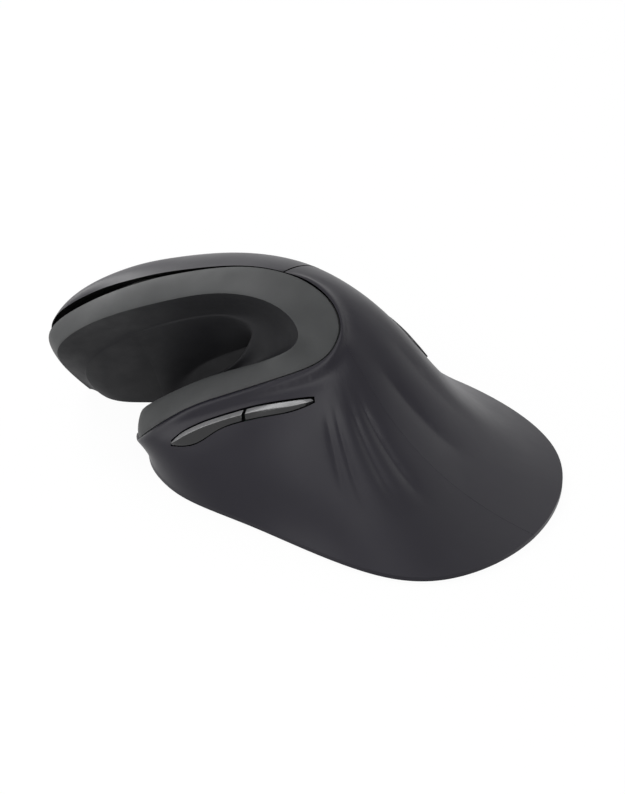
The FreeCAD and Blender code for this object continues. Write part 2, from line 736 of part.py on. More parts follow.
def right_shell_shape():
    shell = shell_patch(LEFT_LAST, RIGHT_LAST, size("shell_wall"))
    shell = shell.common(Part.makeBox(200, 200, 100, Vector(-100, -100, RIM_BOTTOM)))
    shell = shell.cut(panel_opening(PANEL_FOOT, shifted(CONSOLE_LOW, size("panel_gap"))))
    shell = shell.cut(panel_opening(CONSOLE_HIGH, steady(1.06)))
    gap = 2 * size("piece_clearance")
    wheel = lying_cylinder(size("wheel_radius") + gap, size("wheel_width") + 2 * gap, DECK, WHEEL_HEIGHT)
    shell = shell.cut(wheel)
    gap = size("piece_clearance")
    hole = block(DPI_SEAT, DPI_WIDTH + 2 * gap, DPI_LENGTH + 2 * gap, Vector(), -6.0, 4.0)
    shell = shell.cut(hole)
    for point in (BACK_POST_POINT, FRONT_POST_POINT):
        shell = shell.fuse(post(DECK, point, DECK_POST_RADIUS, DECK_TOP, point.z - 0.9))
        shell = shell.cut(post(DECK, point, 0.75, DECK_TOP - 1, DECK_TOP + 3))
    shell = shell.cut(badge_band(2.0, BADGE_SINK).common(badge_prism(0.2)))
    return with_bosses(shell, RIGHT_BOSSES)


DPI_WIDTH = 4.6
DPI_LENGTH = 7.0


INDEX_HINGE = hinge_seat(0.77)
MIDDLE_HINGE = hinge_seat(0.38)


def index_button_shape():
    panel = finger_panel(CONSOLE_HIGH, hood_top, 0.72, 0.82, INDEX_HINGE, True)
    return panel.fuse(post(DECK, INDEX_POINT, 1.5, PUSHER_TIP, INDEX_POINT.z - 0.9))


def middle_button_shape():
    panel = finger_panel(PANEL_FOOT, CONSOLE_LOW, 0.33, 0.43, MIDDLE_HINGE, False)
    return panel.fuse(post(DECK, MIDDLE_POINT, 1.5, PUSHER_TIP, MIDDLE_POINT.z - 0.9))


CAP_ENDS = (0, 0.01, 0.03, 0.07, 0.13)


def cap_profile(width):
    """Shares across a thumb button and how far it rises there: a wedge below, a bevel above."""
    low = size("lower_rise")
    high = size("bevel_rise")
    crease = 1 - min(size("bevel_width") / width, 0.55)
    face = [0, crease * 0.08, crease * 0.35, crease * 0.65, crease - 0.05, crease]
    bevel = [crease + 0.05, (crease + 1) / 2, 0.97, 1]
    rises = [low + (high - low) * share / crease for share in face]
    rises += [high - high * (share - crease) / (1 - crease) for share in bevel]
    return face + bevel, rises


def thumb_cap(first, last):
    """The cap of a thumb button, drawn with close slices at both of its ends."""
    parts = list(CAP_ENDS) + [0.2 + 0.1 * step for step in range(7)]
    parts += [1 - part for part in reversed(CAP_ENDS)]
    outer = []
    inner = []
    for part in parts:
        station = first + (last - first) * part
        low = thumb_bottom(station)
        high = thumb_top(station)
        shares, rises = cap_profile((high - low) * section_poles(station)[1])
        places = [low + (high - low) * share for share in shares]
        outer.append([skin(station, place, -rise) for place, rise in zip(places, rises)])
        inner.append([skin(station, place, size("button_wall")) for place in places])
    return thick_patch(outer, inner)


def thumb_button_shape(first, last, point):
    """A raised button that stands proud of the flank, with a stem to its switch."""
    cap = thumb_cap(first, last)
    return cap.fuse(post(THUMB, point, size("stem_radius"), STEM_TIP, point.z - 0.5))


def badge_prism(spare):
    """The outline of the badge as a tall rounded block along the normal of its spot."""
    length = size("badge_length") + 2 * spare
    width = size("badge_width") + 2 * spare
    prism = Part.makeBox(width, length, 24, Vector(-width / 2, -length / 2, -12))
    upright = [edge for edge in prism.Edges if edge.BoundBox.ZLength > 20]
    prism = prism.makeFillet(size("badge_corner") + spare, upright)
    prism.Placement = seat(*BADGE_SPOT)
    return prism


def badge_band(rise, wall):
    first, last = BADGE_STATIONS
    return band(first, last, steady(0.2), steady(0.7), rise, wall)


def badge_shape():
    return badge_band(size("badge_rise"), BADGE_SINK - 0.04).common(badge_prism(0))


PLATE_FRONT = [
    (0.5, 62.3), (-4.6, 58.3), (-3.6, 53.3), (-1.5, 48.3), (-2.0, 41.3), (-6.0, 38.3), (-15.0, 37.3),
    (-24.0, 36.8),
]


def plate_blank_shape():
    """The base plate inside the rims of both shells, clear of the foot of the cradle."""
    corners = [rim_point(step / 2, size("piece_clearance")) for step in range(3, 45)]
    corners += [Vector(x * STRETCH.x, y * STRETCH.y, 0) for x, y in PLATE_FRONT]
    corners = [corner + Vector(0, 0, RIM_BOTTOM) for corner in corners]
    wire = Part.makePolygon(corners + [corners[0]])
    return Part.Face(wire).extrude(Vector(0, 0, size("plate_thickness")))


# Pieces made of the skin
def styled(name, shape):
    piece = doc.addObject("Part::Feature", name)
    piece.Shape = shape
    piece.Placement = Placement()
    return piece


def sized(text):
    """A cell expression with the sheet named in front of each size."""
    return re.sub(r"[a-z][a-z_]+", lambda word: "Sizes." + word.group(0), str(text))


def bind(thing, **links):
    for name, text in links.items():
        thing.setExpression(name.replace("__", "."), sized(text))
    return thing


def box(name, length, width, height, x=0, y=0, z=0):
    """A box centred on x and y that stands on z; each size is a cell expression."""
    thing = doc.addObject("Part::Box", name)
    bind(thing, Length=length, Width=width, Height=height)
    return bind(thing, Placement__Base__x=f"{x} - ({length}) / 2",
                Placement__Base__y=f"{y} - ({width}) / 2", Placement__Base__z=z)


def cylinder(name, radius, height, x=0, y=0, z=0):
    thing = doc.addObject("Part::Cylinder", name)
    bind(thing, Radius=radius, Height=height)
    return bind(thing, Placement__Base__x=x, Placement__Base__y=y, Placement__Base__z=z)


def turned(name, radius, height, x, y, z, rotation, back):
    """A cylinder laid on its side, centred on its length."""
    thing = cylinder(name, radius, height)
    thing.Placement = Placement(Vector(), rotation)
    places = {"x": x, "y": y, "z": z}
    places[back] = f"{places[back]} - ({height}) / 2"
    return bind(thing, Placement__Base__x=places["x"], Placement__Base__y=places["y"],
                Placement__Base__z=places["z"])


def along_x(name, radius, height, x=0, y=0, z=0):
    return turned(name, radius, height, x, y, z, Rotation(Vector(0, 1, 0), 90), "x")


def along_y(name, radius, height, x=0, y=0, z=0):
    return turned(name, radius, height, x, y, z, Rotation(Vector(1, 0, 0), -90), "y")


def joined(name, *things):
    piece = doc.addObject("Part::MultiFuse", name)
    piece.Shapes = list(things)
    return piece


def cut(name, base, *tools):
    piece = doc.addObject("Part::Cut", name)
    piece.Base = base
    piece.Tool = tools[0] if len(tools) == 1 else joined(name + "_tools", *tools)
    return piece


def grouped(name, *things):
    """Equal pieces that share one node as separate solids."""
    piece = doc.addObject("Part::Compound", name)
    piece.Links = list(things)
    return piece


def spot_text(point):
    return round(point.x, 3), round(point.y, 3)


def micro_switch(name, point, place):
    """A click switch with its plunger, standing on the finger board."""
    x, y = spot_text(point)
    body = box(name + "_body", "switch_width", "switch_length", "switch_height", x, y, DECK_TOP)
    top = f"{DECK_TOP} + switch_height"
    plunger = box(name + "_plunger", 1.6, 2.6, "plunger_height + 0.2", x, y, f"{top} - 0.2")
    piece = joined(name, body, plunger)
    piece.Placement = place
    return piece


def tact_switch(name, x, y, level):
    body = box(name + "_body", "tact_width", "tact_width", "tact_height - 0.8", x, y, level)
    button = cylinder(name + "_button", 1.6, "1.0", x, y, f"{level} + tact_height - 1.0")
    return joined(name, body, button)


def shell_pieces():
    return [
        styled("left_shell", left_shell_shape()),
        styled("right_shell", right_shell_shape()),
        styled("grip_strip", STRIP),
        styled("thumb_cradle", CRADLE),
        styled("index_button", index_button_shape()),
        styled("middle_button", middle_button_shape()),
        styled("forward_button", thumb_button_shape(THUMB_FIRST, THUMB_SPLIT - SPLIT_GAP, FORWARD_POINT)),
        styled("back_button", thumb_button_shape(THUMB_SPLIT + SPLIT_GAP, THUMB_LAST, BACK_POINT)),
        styled("palm_badge", badge_shape()),
    ]


DECK_LEFT = INDEX_POINT.x - size("switch_width") / 2 - size("deck_margin")
DECK_RIGHT = MIDDLE_POINT.x + size("switch_width") / 2 + size("deck_margin")
DECK_BACK = BACK_POST_POINT.y - DECK_POST_RADIUS - size("deck_margin")
DECK_FRONT = FRONT_POST_POINT.y + DECK_POST_RADIUS + size("deck_margin")
DECK_MIDDLE = (DECK_BACK + DECK_FRONT) / 2


def finger_board():
    """The board under the finger panels, cut out for the wheel."""
    thick = "board_thickness"
    level = f"{DECK_TOP} - board_thickness"
    across = (DECK_LEFT + DECK_RIGHT) / 2
    blank = box("finger_board_blank", DECK_RIGHT - DECK_LEFT, DECK_FRONT - DECK_BACK, thick,
                across, DECK_MIDDLE, level)
    tools = [
        box("wheel_well", "wheel_width + 2.4", "2 * wheel_radius - 1", 3, 0, 0, f"{level} - 1"),
        box("deck_corner", 16, 16, 3, DECK_LEFT, DECK_BACK + 4, f"{level} - 1"),
    ]
    for name, point in (("back", BACK_POST_POINT), ("front", FRONT_POST_POINT)):
        tools.append(cylinder(f"deck_hole_{name}", "0.75 + running_gap", 3, *spot_text(point), f"{level} - 1"))
    piece = cut("finger_board", blank, *tools)
    piece.Placement = DECK
    return piece


def scroll_wheel():
    """The hub with its axle, then the rubber tyre around it."""
    height = "wheel_show - wheel_radius"
    hub = along_x("wheel_hub", "wheel_radius - tyre_thickness", "wheel_width - 0.8", 0, 0, height)
    axle = along_x("wheel_axle", "axle_radius", "wheel_width + 5.6", 0, 0, height)
    wheel = joined("scroll_wheel", hub, axle)
    outer = along_x("tyre_outer", "wheel_radius", "wheel_width", 0, 0, height)
    inner = along_x("tyre_inner", "wheel_radius - tyre_thickness", "wheel_width + 2", 0, 0, height)
    tyre = cut("wheel_tyre", outer, inner)
    for piece in (wheel, tyre):
        piece.Placement = DECK
    return [wheel, tyre]


CARRIER_LIFT = 0.8
CARRIER_BAR = 12.6


def wheel_carrier():
    """A fork that holds the axle and presses the switch behind the wheel."""
    reach = "wheel_width / 2 + piece_clearance"
    low = f"{DECK_TOP} + {CARRIER_LIFT}"
    height = "wheel_show - wheel_radius"
    tall = f"wheel_show - wheel_radius + 2.4 - ({low})"
    bar_level = f"{DECK_TOP} + tact_height + click_travel + running_gap"
    parts = []
    holes = []
    for name, sign in (("left", -1), ("right", 1)):
        x = f"{sign} * ({reach} + carrier_wall / 2)"
        parts.append(box(f"carrier_{name}", "carrier_wall", "carrier_length", tall, x, 0, low))
        parts.append(box(f"carrier_{name}_arm", "carrier_wall", 10.2, 2.4, x, 8.6, bar_level))
        holes.append(along_x(f"carrier_{name}_hole", "axle_radius + running_gap", 4, x, 0, height))
    bar = box("carrier_bar", f"2 * ({reach} + carrier_wall)", 2.2, 2.4, 0, CARRIER_BAR, bar_level)
    solid = joined("carrier_solid", *parts, bar)
    piece = cut("wheel_carrier", solid, *holes)
    piece.Placement = DECK
    return piece


def wheel_encoder():
    """The encoder clipped to the right cheek of the fork, around the end of the axle."""
    x = "wheel_width / 2 + piece_clearance + carrier_wall + 1.2"
    height = "wheel_show - wheel_radius"
    body = box("encoder_body", 2.4, 7, 7, x, 0, f"{height} - 3.9")
    hole = along_x("encoder_hole", "axle_radius + running_gap", 6, x, 0, height)
    piece = cut("wheel_encoder", body, hole)
    piece.Placement = DECK
    return piece


def finger_switches():
    index = micro_switch("index_switch", INDEX_POINT, DECK)
    middle = micro_switch("middle_switch", MIDDLE_POINT, DECK)
    press = tact_switch("wheel_switch", 0, CARRIER_BAR, DECK_TOP)
    press.Placement = DECK
    x, y = spot_text(DPI_POINT)
    speed = tact_switch("dpi_switch", x, y, DECK_TOP)
    speed.Placement = DECK
    return [index, middle, press, speed]


def dpi_button():
    """The speed button in the console, with a stem down to its switch."""
    x, y = spot_text(DPI_POINT)
    cap = box("dpi_cap", DPI_WIDTH, DPI_LENGTH, "button_rise + 4", 0, 0, -4)
    collar = box("dpi_collar", DPI_WIDTH + 1.2, DPI_LENGTH - 2, 0.8, 0, 0, -4)
    tip = f"{DECK_TOP} + tact_height + click_travel + running_gap"
    stem = cylinder("dpi_stem", "stem_radius", f"{round(DPI_POINT.z, 3)} - 2 - ({tip})", x, y, tip)
    rounded = doc.addObject("Part::Fillet", "dpi_cap_round")
    rounded.Base = cap
    doc.recompute()
    rounded.Edges = [(number, 0.5, 0.5) for number in edges_on_top(cap)]
    head = joined("dpi_head", rounded, collar)
    head.Placement = DECK.inverse().multiply(DPI_SEAT)
    piece = joined("dpi_button", head, stem)
    piece.Placement = DECK
    return piece


def edges_on_top(thing):
    top = thing.Shape.BoundBox.ZMax
    return [
        number for number, edge in enumerate(thing.Shape.Edges, start=1)
        if abs(edge.BoundBox.ZMin - top) < 1e-6
    ]


def thumb_parts():
    """The board behind the thumb buttons and its two switches."""
    level = THUMB_BOARD_TOP
    board = box("thumb_board_sheet", "thumb_board_width", "thumb_board_length", "board_thickness",
                0, -0.5, f"{level} - board_thickness")
    board = grouped("thumb_board", board)
    forward = tact_switch("forward_tact", *spot_text(FORWARD_POINT), level)
    back = tact_switch("back_tact", *spot_text(BACK_POINT), level)
    switches = grouped("thumb_switches", forward, back)
    for piece in (board, switches):
        piece.Placement = THUMB
    return [board, switches]


def base_plate():
    """The plate with its openings, the posts of the main board and the screw holes."""
    blank = styled("plate_blank", plate_blank_shape())
    posts = []
    for name, dx, dy in BOARD_CORNERS:
        x = f"board_x + {dx} * (board_width / 2 - 2.4)"
        y = f"board_y + {dy} * (board_length / 2 - 2.4)"
        posts.append(cylinder(f"post_{name}", "post_radius", "board_lift + 0.5", x, y,
                              "feet_thickness + plate_thickness - 0.5"))
    low = "feet_thickness - 1"
    deep = "plate_thickness + 2"
    tools = [
        box("sensor_window", "aperture", "aperture", deep, "board_x", "sensor_y", low),
        box("door_window", DOOR_WIDTH, DOOR_LENGTH, deep, "tray_x", TRAY_Y, low),
        box("receiver_window", "receiver_height + 2 * piece_clearance",
            "receiver_width + 2 * piece_clearance", deep, "receiver_x", "receiver_y", low),
        box("switch_window", "knob_width + 0.6", "knob_length + knob_travel + 0.6", deep,
            "power_x", "power_y", low),
        along_x("pin_way", "pin_radius + running_gap", f"{DOOR_WIDTH} + 2 * pin_length + 0.4", "tray_x",
                DOOR_AXIS_Y, DOOR_AXIS_Z),
    ]
    for number, (station, inset) in enumerate(LEFT_BOSSES + RIGHT_BOSSES, start=1):
        x, y = spot_text(rim_point(station, inset))
        tools.append(cylinder(f"screw_way_{number}", "screw_radius + running_gap", deep, x, y, low))
        tools.append(cylinder(f"screw_seat_{number}", "screw_head_radius + 0.1",
                              "screw_head_height + 1", x, y, low))
    for name, dx, dy in BOARD_CORNERS:
        x = f"board_x + {dx} * (board_width / 2 - 2.4)"
        y = f"board_y + {dy} * (board_length / 2 - 2.4)"
        tools.append(cylinder(f"post_hole_{name}", "0.6 + running_gap", 3.2, x, y,
                              "feet_thickness + plate_thickness + board_lift - 3"))
    return cut("base_plate", joined("plate_solid", blank, *posts), *tools)


BOARD_CORNERS = [("back_left", -1, -1), ("back_right", 1, -1), ("front_left", -1, 1), ("front_right", 1, 1)]
DOOR_WIDTH = "4 * cell_radius + 0.4 + 2 * piece_clearance"
DOOR_LENGTH = "cell_length + cell_nub + 1.6"
TRAY_Y = f"(sensor_y - lens_length / 2 - tray_gap - tray_wall - ({DOOR_LENGTH}) / 2)"


def battery_pieces():
    """The tray over the door, two cells side by side and their contacts."""
    floor = "feet_thickness + plate_thickness"
    outer_x = f"{DOOR_WIDTH} + 2 * tray_wall"
    outer_y = f"{DOOR_LENGTH} + 2 * tray_wall"
    walls = box("tray_outer", outer_x, outer_y, "tray_height + tray_wall + 0.8", "tray_x", TRAY_Y, floor)
    room = box("tray_room", DOOR_WIDTH, DOOR_LENGTH, "tray_height + 1.8", "tray_x", TRAY_Y, f"{floor} - 1")
    tray = cut("battery_tray", walls, room)
    cells = []
    contacts = []
    lift = f"{floor} + 0.3 + cell_radius"
    for name, side in (("left", -1), ("right", 1)):
        x = f"tray_x + {side} * (cell_radius + 0.1)"
        body = along_y(f"cell_{name}_body", "cell_radius", "cell_length", x, TRAY_Y, lift)
        nub = along_y(f"cell_{name}_nub", 1.9, "cell_nub + 0.2",
                      x, f"{TRAY_Y} + {side} * (cell_length / 2 + cell_nub / 2 - 0.3)", lift)
        cells.append(joined(f"cell_{name}", body, nub))
        for end, way in (("back", -1), ("front", 1)):
            y = f"{TRAY_Y} + {way} * (cell_length / 2 + cell_nub / 2 + 0.8 - contact_thickness / 2 - 0.01)"
            contacts.append(box(f"contact_{name}_{end}", 7, "contact_thickness", 7.4, x, y,
                                f"{floor} + 1.4"))
    return [tray, grouped("battery_cells", *cells), grouped("battery_contacts", *contacts)]


DOOR_AXIS_Y = f"{TRAY_Y} - ({DOOR_LENGTH}) / 2 + piece_clearance + door_thickness / 2"
DOOR_AXIS_Z = "feet_thickness + door_thickness / 2"


def battery_door():
    """A door flush with the plate that turns on two pins at its round rear edge."""
    wide = f"{DOOR_WIDTH} - 2 * piece_clearance"
    long = f"{DOOR_LENGTH} - 2 * piece_clearance - door_thickness / 2"
    leaf = box("door_leaf", wide, long, "door_thickness", "tray_x", f"{TRAY_Y} + door_thickness / 4",
               "feet_thickness")
    barrel = along_x("door_barrel", "door_thickness / 2", wide, "tray_x", DOOR_AXIS_Y, DOOR_AXIS_Z)
    pins = along_x("door_pins", "pin_radius", f"{DOOR_WIDTH} + 2 * pin_length", "tray_x", DOOR_AXIS_Y,
                   DOOR_AXIS_Z)
    grip = box("door_grip", 9, 1.6, 2, "tray_x", f"{TRAY_Y} + ({DOOR_LENGTH}) / 2 - 4", "feet_thickness - 1.5")
    return cut("battery_door", joined("door_body", leaf, barrel, pins), grip)


def receiver_pieces():
    """The sleeve that stores the receiver upright over its opening, and the receiver."""
    floor = "feet_thickness + plate_thickness"
    tall = "receiver_length - plate_thickness + 1.2"
    outer = box("dock_outer", "receiver_height + 2 * (dock_wall + piece_clearance)",
                "receiver_width + 2 * (dock_wall + piece_clearance)", tall, "receiver_x", "receiver_y", floor)
    room = box("dock_room", "receiver_height + 2 * piece_clearance", "receiver_width + 2 * piece_clearance",
               f"{tall} - dock_wall + 1", "receiver_x", "receiver_y", f"{floor} - 1")
    dock = cut("receiver_dock", outer, room)
    head = box("receiver_head", "receiver_height", "receiver_width", "receiver_length - plug_length",
               "receiver_x", "receiver_y", "feet_thickness")
    plug = box("receiver_plug", 4.5, 12, "plug_length + 0.4", "receiver_x", "receiver_y",
               "feet_thickness + receiver_length - plug_length - 0.4")
    tongue = box("receiver_mouth", 1.9, 11, 9, "receiver_x + 0.9", "receiver_y",
                 "feet_thickness + receiver_length - 8")
    body = joined("receiver_body", head, plug)
    return [dock, cut("usb_receiver", body, tongue)]


def power_pieces():
    """The sliding power switch on the plate and its knob in the slot."""
    floor = "feet_thickness + plate_thickness"
    case = box("power_case", "power_width", "power_length", "power_height", "power_x", "power_y", floor)
    way = box("power_way", "knob_width + 0.2", "knob_length + knob_travel + 0.4", "1.6",
              "power_x", "power_y", f"{floor} - 0.4")
    switch = cut("power_switch", case, way)
    knob = box("knob_block", "knob_width", "knob_length", "plate_thickness + 0.6", "power_x",
               "power_y - knob_travel / 2", "feet_thickness + 0.3")
    return [switch, grouped("power_knob", knob)]


def board_pieces():
    """The main board with the optical sensor and its lens, and four screws."""
    floor = "feet_thickness + plate_thickness"
    level = f"{floor} + board_lift"
    blank = box("board_blank", "board_width", "board_length", "board_thickness", "board_x", "board_y", level)
    tools = [box("board_window", 6, 6, 4, "board_x", "sensor_y", f"{level} - 1")]
    screws = []
    for name, dx, dy in BOARD_CORNERS:
        x = f"board_x + {dx} * (board_width / 2 - 2.4)"
        y = f"board_y + {dy} * (board_length / 2 - 2.4)"
        tools.append(cylinder(f"board_hole_{name}", "0.7 + running_gap", 4, x, y, f"{level} - 1"))
        shank = cylinder(f"board_screw_{name}_shank", 0.6, "board_thickness + 2.5", x, y, f"{level} - 2.4")
        head = cylinder(f"board_screw_{name}_head", 1.4, 1.0, x, y, f"{level} + board_thickness")
        screws.append(joined(f"board_screw_{name}", shank, head))
    board = cut("main_board", blank, *tools)
    chip = box("optical_sensor_case", "sensor_width", "sensor_length", "sensor_height", "board_x", "sensor_y",
               f"{level} + board_thickness")
    sensor = grouped("optical_sensor", chip)
    plate = box("lens_plate", "lens_width", "lens_length", "board_lift - 0.3", "board_x", "sensor_y", floor)
    eye = box("lens_eye", 4, 4, "board_lift", "board_x", "sensor_y", floor)
    hood = box("lens_hood", 7, 7, 0.9, "board_x", "sensor_y", f"{floor} - 0.6")
    lens = joined("sensor_lens", plate, eye, hood)
    chip_two = box("controller", 7, 7, 1.1, "board_x", "board_y + 7.5", f"{level} + board_thickness")
    crystal = box("radio_can", 8, 3.4, 1.6, "board_x", "board_y + 1.8", f"{level} + board_thickness")
    return [board, grouped("board_screws", *screws), sensor, lens, grouped("board_chips", chip_two, crystal)]


def case_screws():
    screws = []
    for number, (station, inset) in enumerate(LEFT_BOSSES + RIGHT_BOSSES, start=1):
        x, y = spot_text(rim_point(station, inset))
        shank = cylinder(f"case_screw_{number}_shank", "screw_radius", "screw_length - 0.4", x, y,
                         "feet_thickness + 0.5")
        head = cylinder(f"case_screw_{number}_head", "screw_head_radius", "screw_head_height - 0.1", x, y,
                        "feet_thickness + 0.1")
        screws.append(joined(f"case_screw_{number}", shank, head))
    return grouped("case_screws", *screws)


FOOT_SPOTS = [(-32.0, 4.8), (-20.0, -45.2), (26.0, -34.2), (9.0, 45.8)]


def glide_feet():
    feet = []
    for number, (x, y) in enumerate(FOOT_SPOTS, start=1):
        feet.append(cylinder(f"foot_{number}", "foot_radius", "feet_thickness",
                             round(x * STRETCH.x, 3), round(y * STRETCH.y, 3), 0))
    return grouped("glide_feet", *feet)


def finger_board_screws():
    screws = []
    for name, point in (("back", BACK_POST_POINT), ("front", FRONT_POST_POINT)):
        x, y = spot_text(point)
        shank = cylinder(f"deck_screw_{name}_shank", 0.7, "board_thickness + 2.2", x, y,
                         f"{DECK_TOP} - board_thickness - 0.1")
        head = cylinder(f"deck_screw_{name}_head", 1.6, 1.0, x, y, f"{DECK_TOP} - board_thickness - 1")
        screws.append(joined(f"deck_screw_{name}", shank, head))
    piece = grouped("finger_board_screws", *screws)
    piece.Placement = DECK
    return piece


def check(thing):
    state = [word for word in thing.State if word in ("Invalid", "Error")]
    if state or thing.Shape.isNull() or not thing.Shape.isValid():
        raise ValueError(f"{thing.Label}: {state or 'bad shape'}")


def build():
    pieces = shell_pieces() + [base_plate(), finger_board()] + scroll_wheel()
    pieces += [wheel_carrier(), wheel_encoder()] + finger_switches() + [dpi_button()]
    pieces += thumb_parts() + battery_pieces() + [battery_door()] + receiver_pieces()
    pieces += power_pieces() + board_pieces() + [case_screws(), finger_board_screws(), glide_feet()]
    doc.recompute()
    for thing in doc.Objects:
        if hasattr(thing, "Shape"):
            check(thing)
    for piece in pieces:
        piece.Shape.exportStep(f"parts/{piece.Label}.step")
        print(piece.Label, len(piece.Shape.Solids), round(piece.Shape.Volume, 1))
    return pieces


build()
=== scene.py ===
import json
import math

import bmesh
import bpy
from mathutils import Matrix, Vector


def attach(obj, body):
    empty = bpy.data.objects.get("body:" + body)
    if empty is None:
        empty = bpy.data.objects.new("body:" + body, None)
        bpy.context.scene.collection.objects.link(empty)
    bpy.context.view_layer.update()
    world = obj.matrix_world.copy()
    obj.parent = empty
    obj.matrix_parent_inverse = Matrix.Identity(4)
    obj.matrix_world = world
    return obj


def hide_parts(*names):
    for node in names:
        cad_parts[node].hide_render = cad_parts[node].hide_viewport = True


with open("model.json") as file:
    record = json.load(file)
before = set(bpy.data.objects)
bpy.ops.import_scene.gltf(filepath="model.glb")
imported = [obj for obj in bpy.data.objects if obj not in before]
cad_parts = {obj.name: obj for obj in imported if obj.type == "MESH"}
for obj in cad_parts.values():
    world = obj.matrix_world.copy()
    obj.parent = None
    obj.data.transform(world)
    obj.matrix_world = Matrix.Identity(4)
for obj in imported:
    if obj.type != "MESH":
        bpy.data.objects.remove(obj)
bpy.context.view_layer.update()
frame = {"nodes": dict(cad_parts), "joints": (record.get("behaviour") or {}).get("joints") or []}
nodes = frame["nodes"]
print("frame loaded:", len(nodes), "nodes")

# camera
cameraSetup = {
    "place": (-0.6258, -0.40407, 0.5374),
    "azimuth": -57.0,
    "elevation": 35.0,
    "lens": 146.9,
}


def facing(azimuth, elevation):
    # the way from the part to a point at these angles, in degrees
    azimuth, elevation = math.radians(azimuth), math.radians(elevation)
    return Vector((
        math.sin(azimuth) * math.cos(elevation),
        -math.cos(azimuth) * math.cos(elevation),
        math.sin(elevation),
    ))


def addCamera(setup):
    back = facing(setup["azimuth"], setup["elevation"])
    data = bpy.data.cameras.new("photoCamera")
    data.lens = setup["lens"]
    data.sensor_width = 36.0
    data.clip_start = 0.01
    data.clip_end = 20.0
    camera = bpy.data.objects.new("photoCamera", data)
    bpy.context.scene.collection.objects.link(camera)
    camera.location = setup["place"]
    camera.rotation_mode = "QUATERNION"
    camera.rotation_quaternion = (-back).to_track_quat("-Z", "Y")
    bpy.context.scene.camera = camera


addCamera(cameraSetup)
print("camera set")

# light and floor
lightSetup = {
    "backSoftbox": {"azimuth": 159, "elevation": 37, "width": 0.34, "height": 1.15, "power": 5.0},
    "backRightSoftbox": {"azimuth": 80, "elevation": 35, "width": 0.7, "height": 0.7, "power": 0.8},
    "cameraSoftbox": {"azimuth": -57, "elevation": 15, "width": 0.8, "height": 0.8, "power": 5.5},
    "leftSoftbox": {"azimuth": -140, "elevation": 25, "width": 0.7, "height": 0.7, "power": 3.0},
    "rightSoftbox": {"azimuth": 40, "elevation": 25, "width": 0.7, "height": 0.7, "power": 1.4},
    "topSoftbox": {"azimuth": -57, "elevation": 65, "width": 0.7, "height": 0.7, "power": 1.8},
}
lightReach = 0.9
stageSetup = {"floorColour": (0.4, 0.4, 0.4, 1), "floorLift": 0.85, "floorGlow": 1.12, "ambient": 0.03}


def addSoftbox(name, setup):
    data = bpy.data.lights.new(name, "AREA")
    data.shape = "RECTANGLE"
    data.size = setup["width"]
    data.size_y = setup["height"]
    data.energy = setup["power"]
    lamp = bpy.data.objects.new(name, data)
    bpy.context.scene.collection.objects.link(lamp)
    way = facing(setup["azimuth"], setup["elevation"])
    lamp.location = way * lightReach
    lamp.rotation_mode = "QUATERNION"
    lamp.rotation_quaternion = (-way).to_track_quat("-Z", "Y")


def seenDirectly(tree):
    # 1 for rays that come from the camera, or by way of a mirror or glass
    path = tree.nodes.new("ShaderNodeLightPath")
    seen = path.outputs["Is Camera Ray"]
    for ray in ("Is Glossy Ray", "Is Transmission Ray"):
        either = tree.nodes.new("ShaderNodeMath")
        either.operation = "MAXIMUM"
        tree.links.new(seen, either.inputs[0])
        tree.links.new(path.outputs[ray], either.inputs[1])
        seen = either.outputs[0]
    return seen


def addWorld(setup):
    world = bpy.data.worlds.new("studio")
    bpy.context.scene.world = world
    world.use_nodes = True
    tree = world.node_tree
    tree.nodes.clear()
    soft = tree.nodes.new("ShaderNodeBackground")
    soft.inputs["Color"].default_value = (1, 1, 1, 1)
    soft.inputs["Strength"].default_value = setup["ambient"]
    plain = tree.nodes.new("ShaderNodeBackground")
    plain.inputs["Color"].default_value = (1, 1, 1, 1)
    plain.inputs["Strength"].default_value = 1.0
    mix = tree.nodes.new("ShaderNodeMixShader")
    out = tree.nodes.new("ShaderNodeOutputWorld")
    tree.links.new(seenDirectly(tree), mix.inputs[0])
    tree.links.new(soft.outputs[0], mix.inputs[1])
    tree.links.new(plain.outputs[0], mix.inputs[2])
    tree.links.new(mix.outputs[0], out.inputs["Surface"])


def addFloor(setup):
    grid = bmesh.new()
    bmesh.ops.create_grid(grid, x_segments=1, y_segments=1, size=2.0)
    mesh = bpy.data.meshes.new("floor")
    grid.to_mesh(mesh)
    grid.free()
    floor = bpy.data.objects.new("floor", mesh)
    bpy.context.scene.collection.objects.link(floor)
    material = bpy.data.materials.new("paleFloor")
    material.use_nodes = True
    tree = material.node_tree
    tree.nodes.clear()
    matte = tree.nodes.new("ShaderNodeBsdfDiffuse")
    matte.inputs["Color"].default_value = setup["floorColour"]
    glow = tree.nodes.new("ShaderNodeEmission")
    glow.inputs["Color"].default_value = (1, 1, 1, 1)
    glow.inputs["Strength"].default_value = setup["floorGlow"]
    share = tree.nodes.new("ShaderNodeMath")
    share.operation = "MULTIPLY"
    share.inputs[1].default_value = setup["floorLift"]
    mix = tree.nodes.new("ShaderNodeMixShader")
    out = tree.nodes.new("ShaderNodeOutputMaterial")
    tree.links.new(seenDirectly(tree), share.inputs[0])
    tree.links.new(share.outputs[0], mix.inputs[0])
    tree.links.new(matte.outputs[0], mix.inputs[1])
    tree.links.new(glow.outputs[0], mix.inputs[2])
    tree.links.new(mix.outputs[0], out.inputs["Surface"])
    mesh.materials.append(material)


for lampName, lampSetup in lightSetup.items():
    addSoftbox(lampName, lampSetup)
addWorld(stageSetup)
addFloor(stageSetup)
bpy.context.scene.view_settings.view_transform = "Standard"
print("light and floor set")

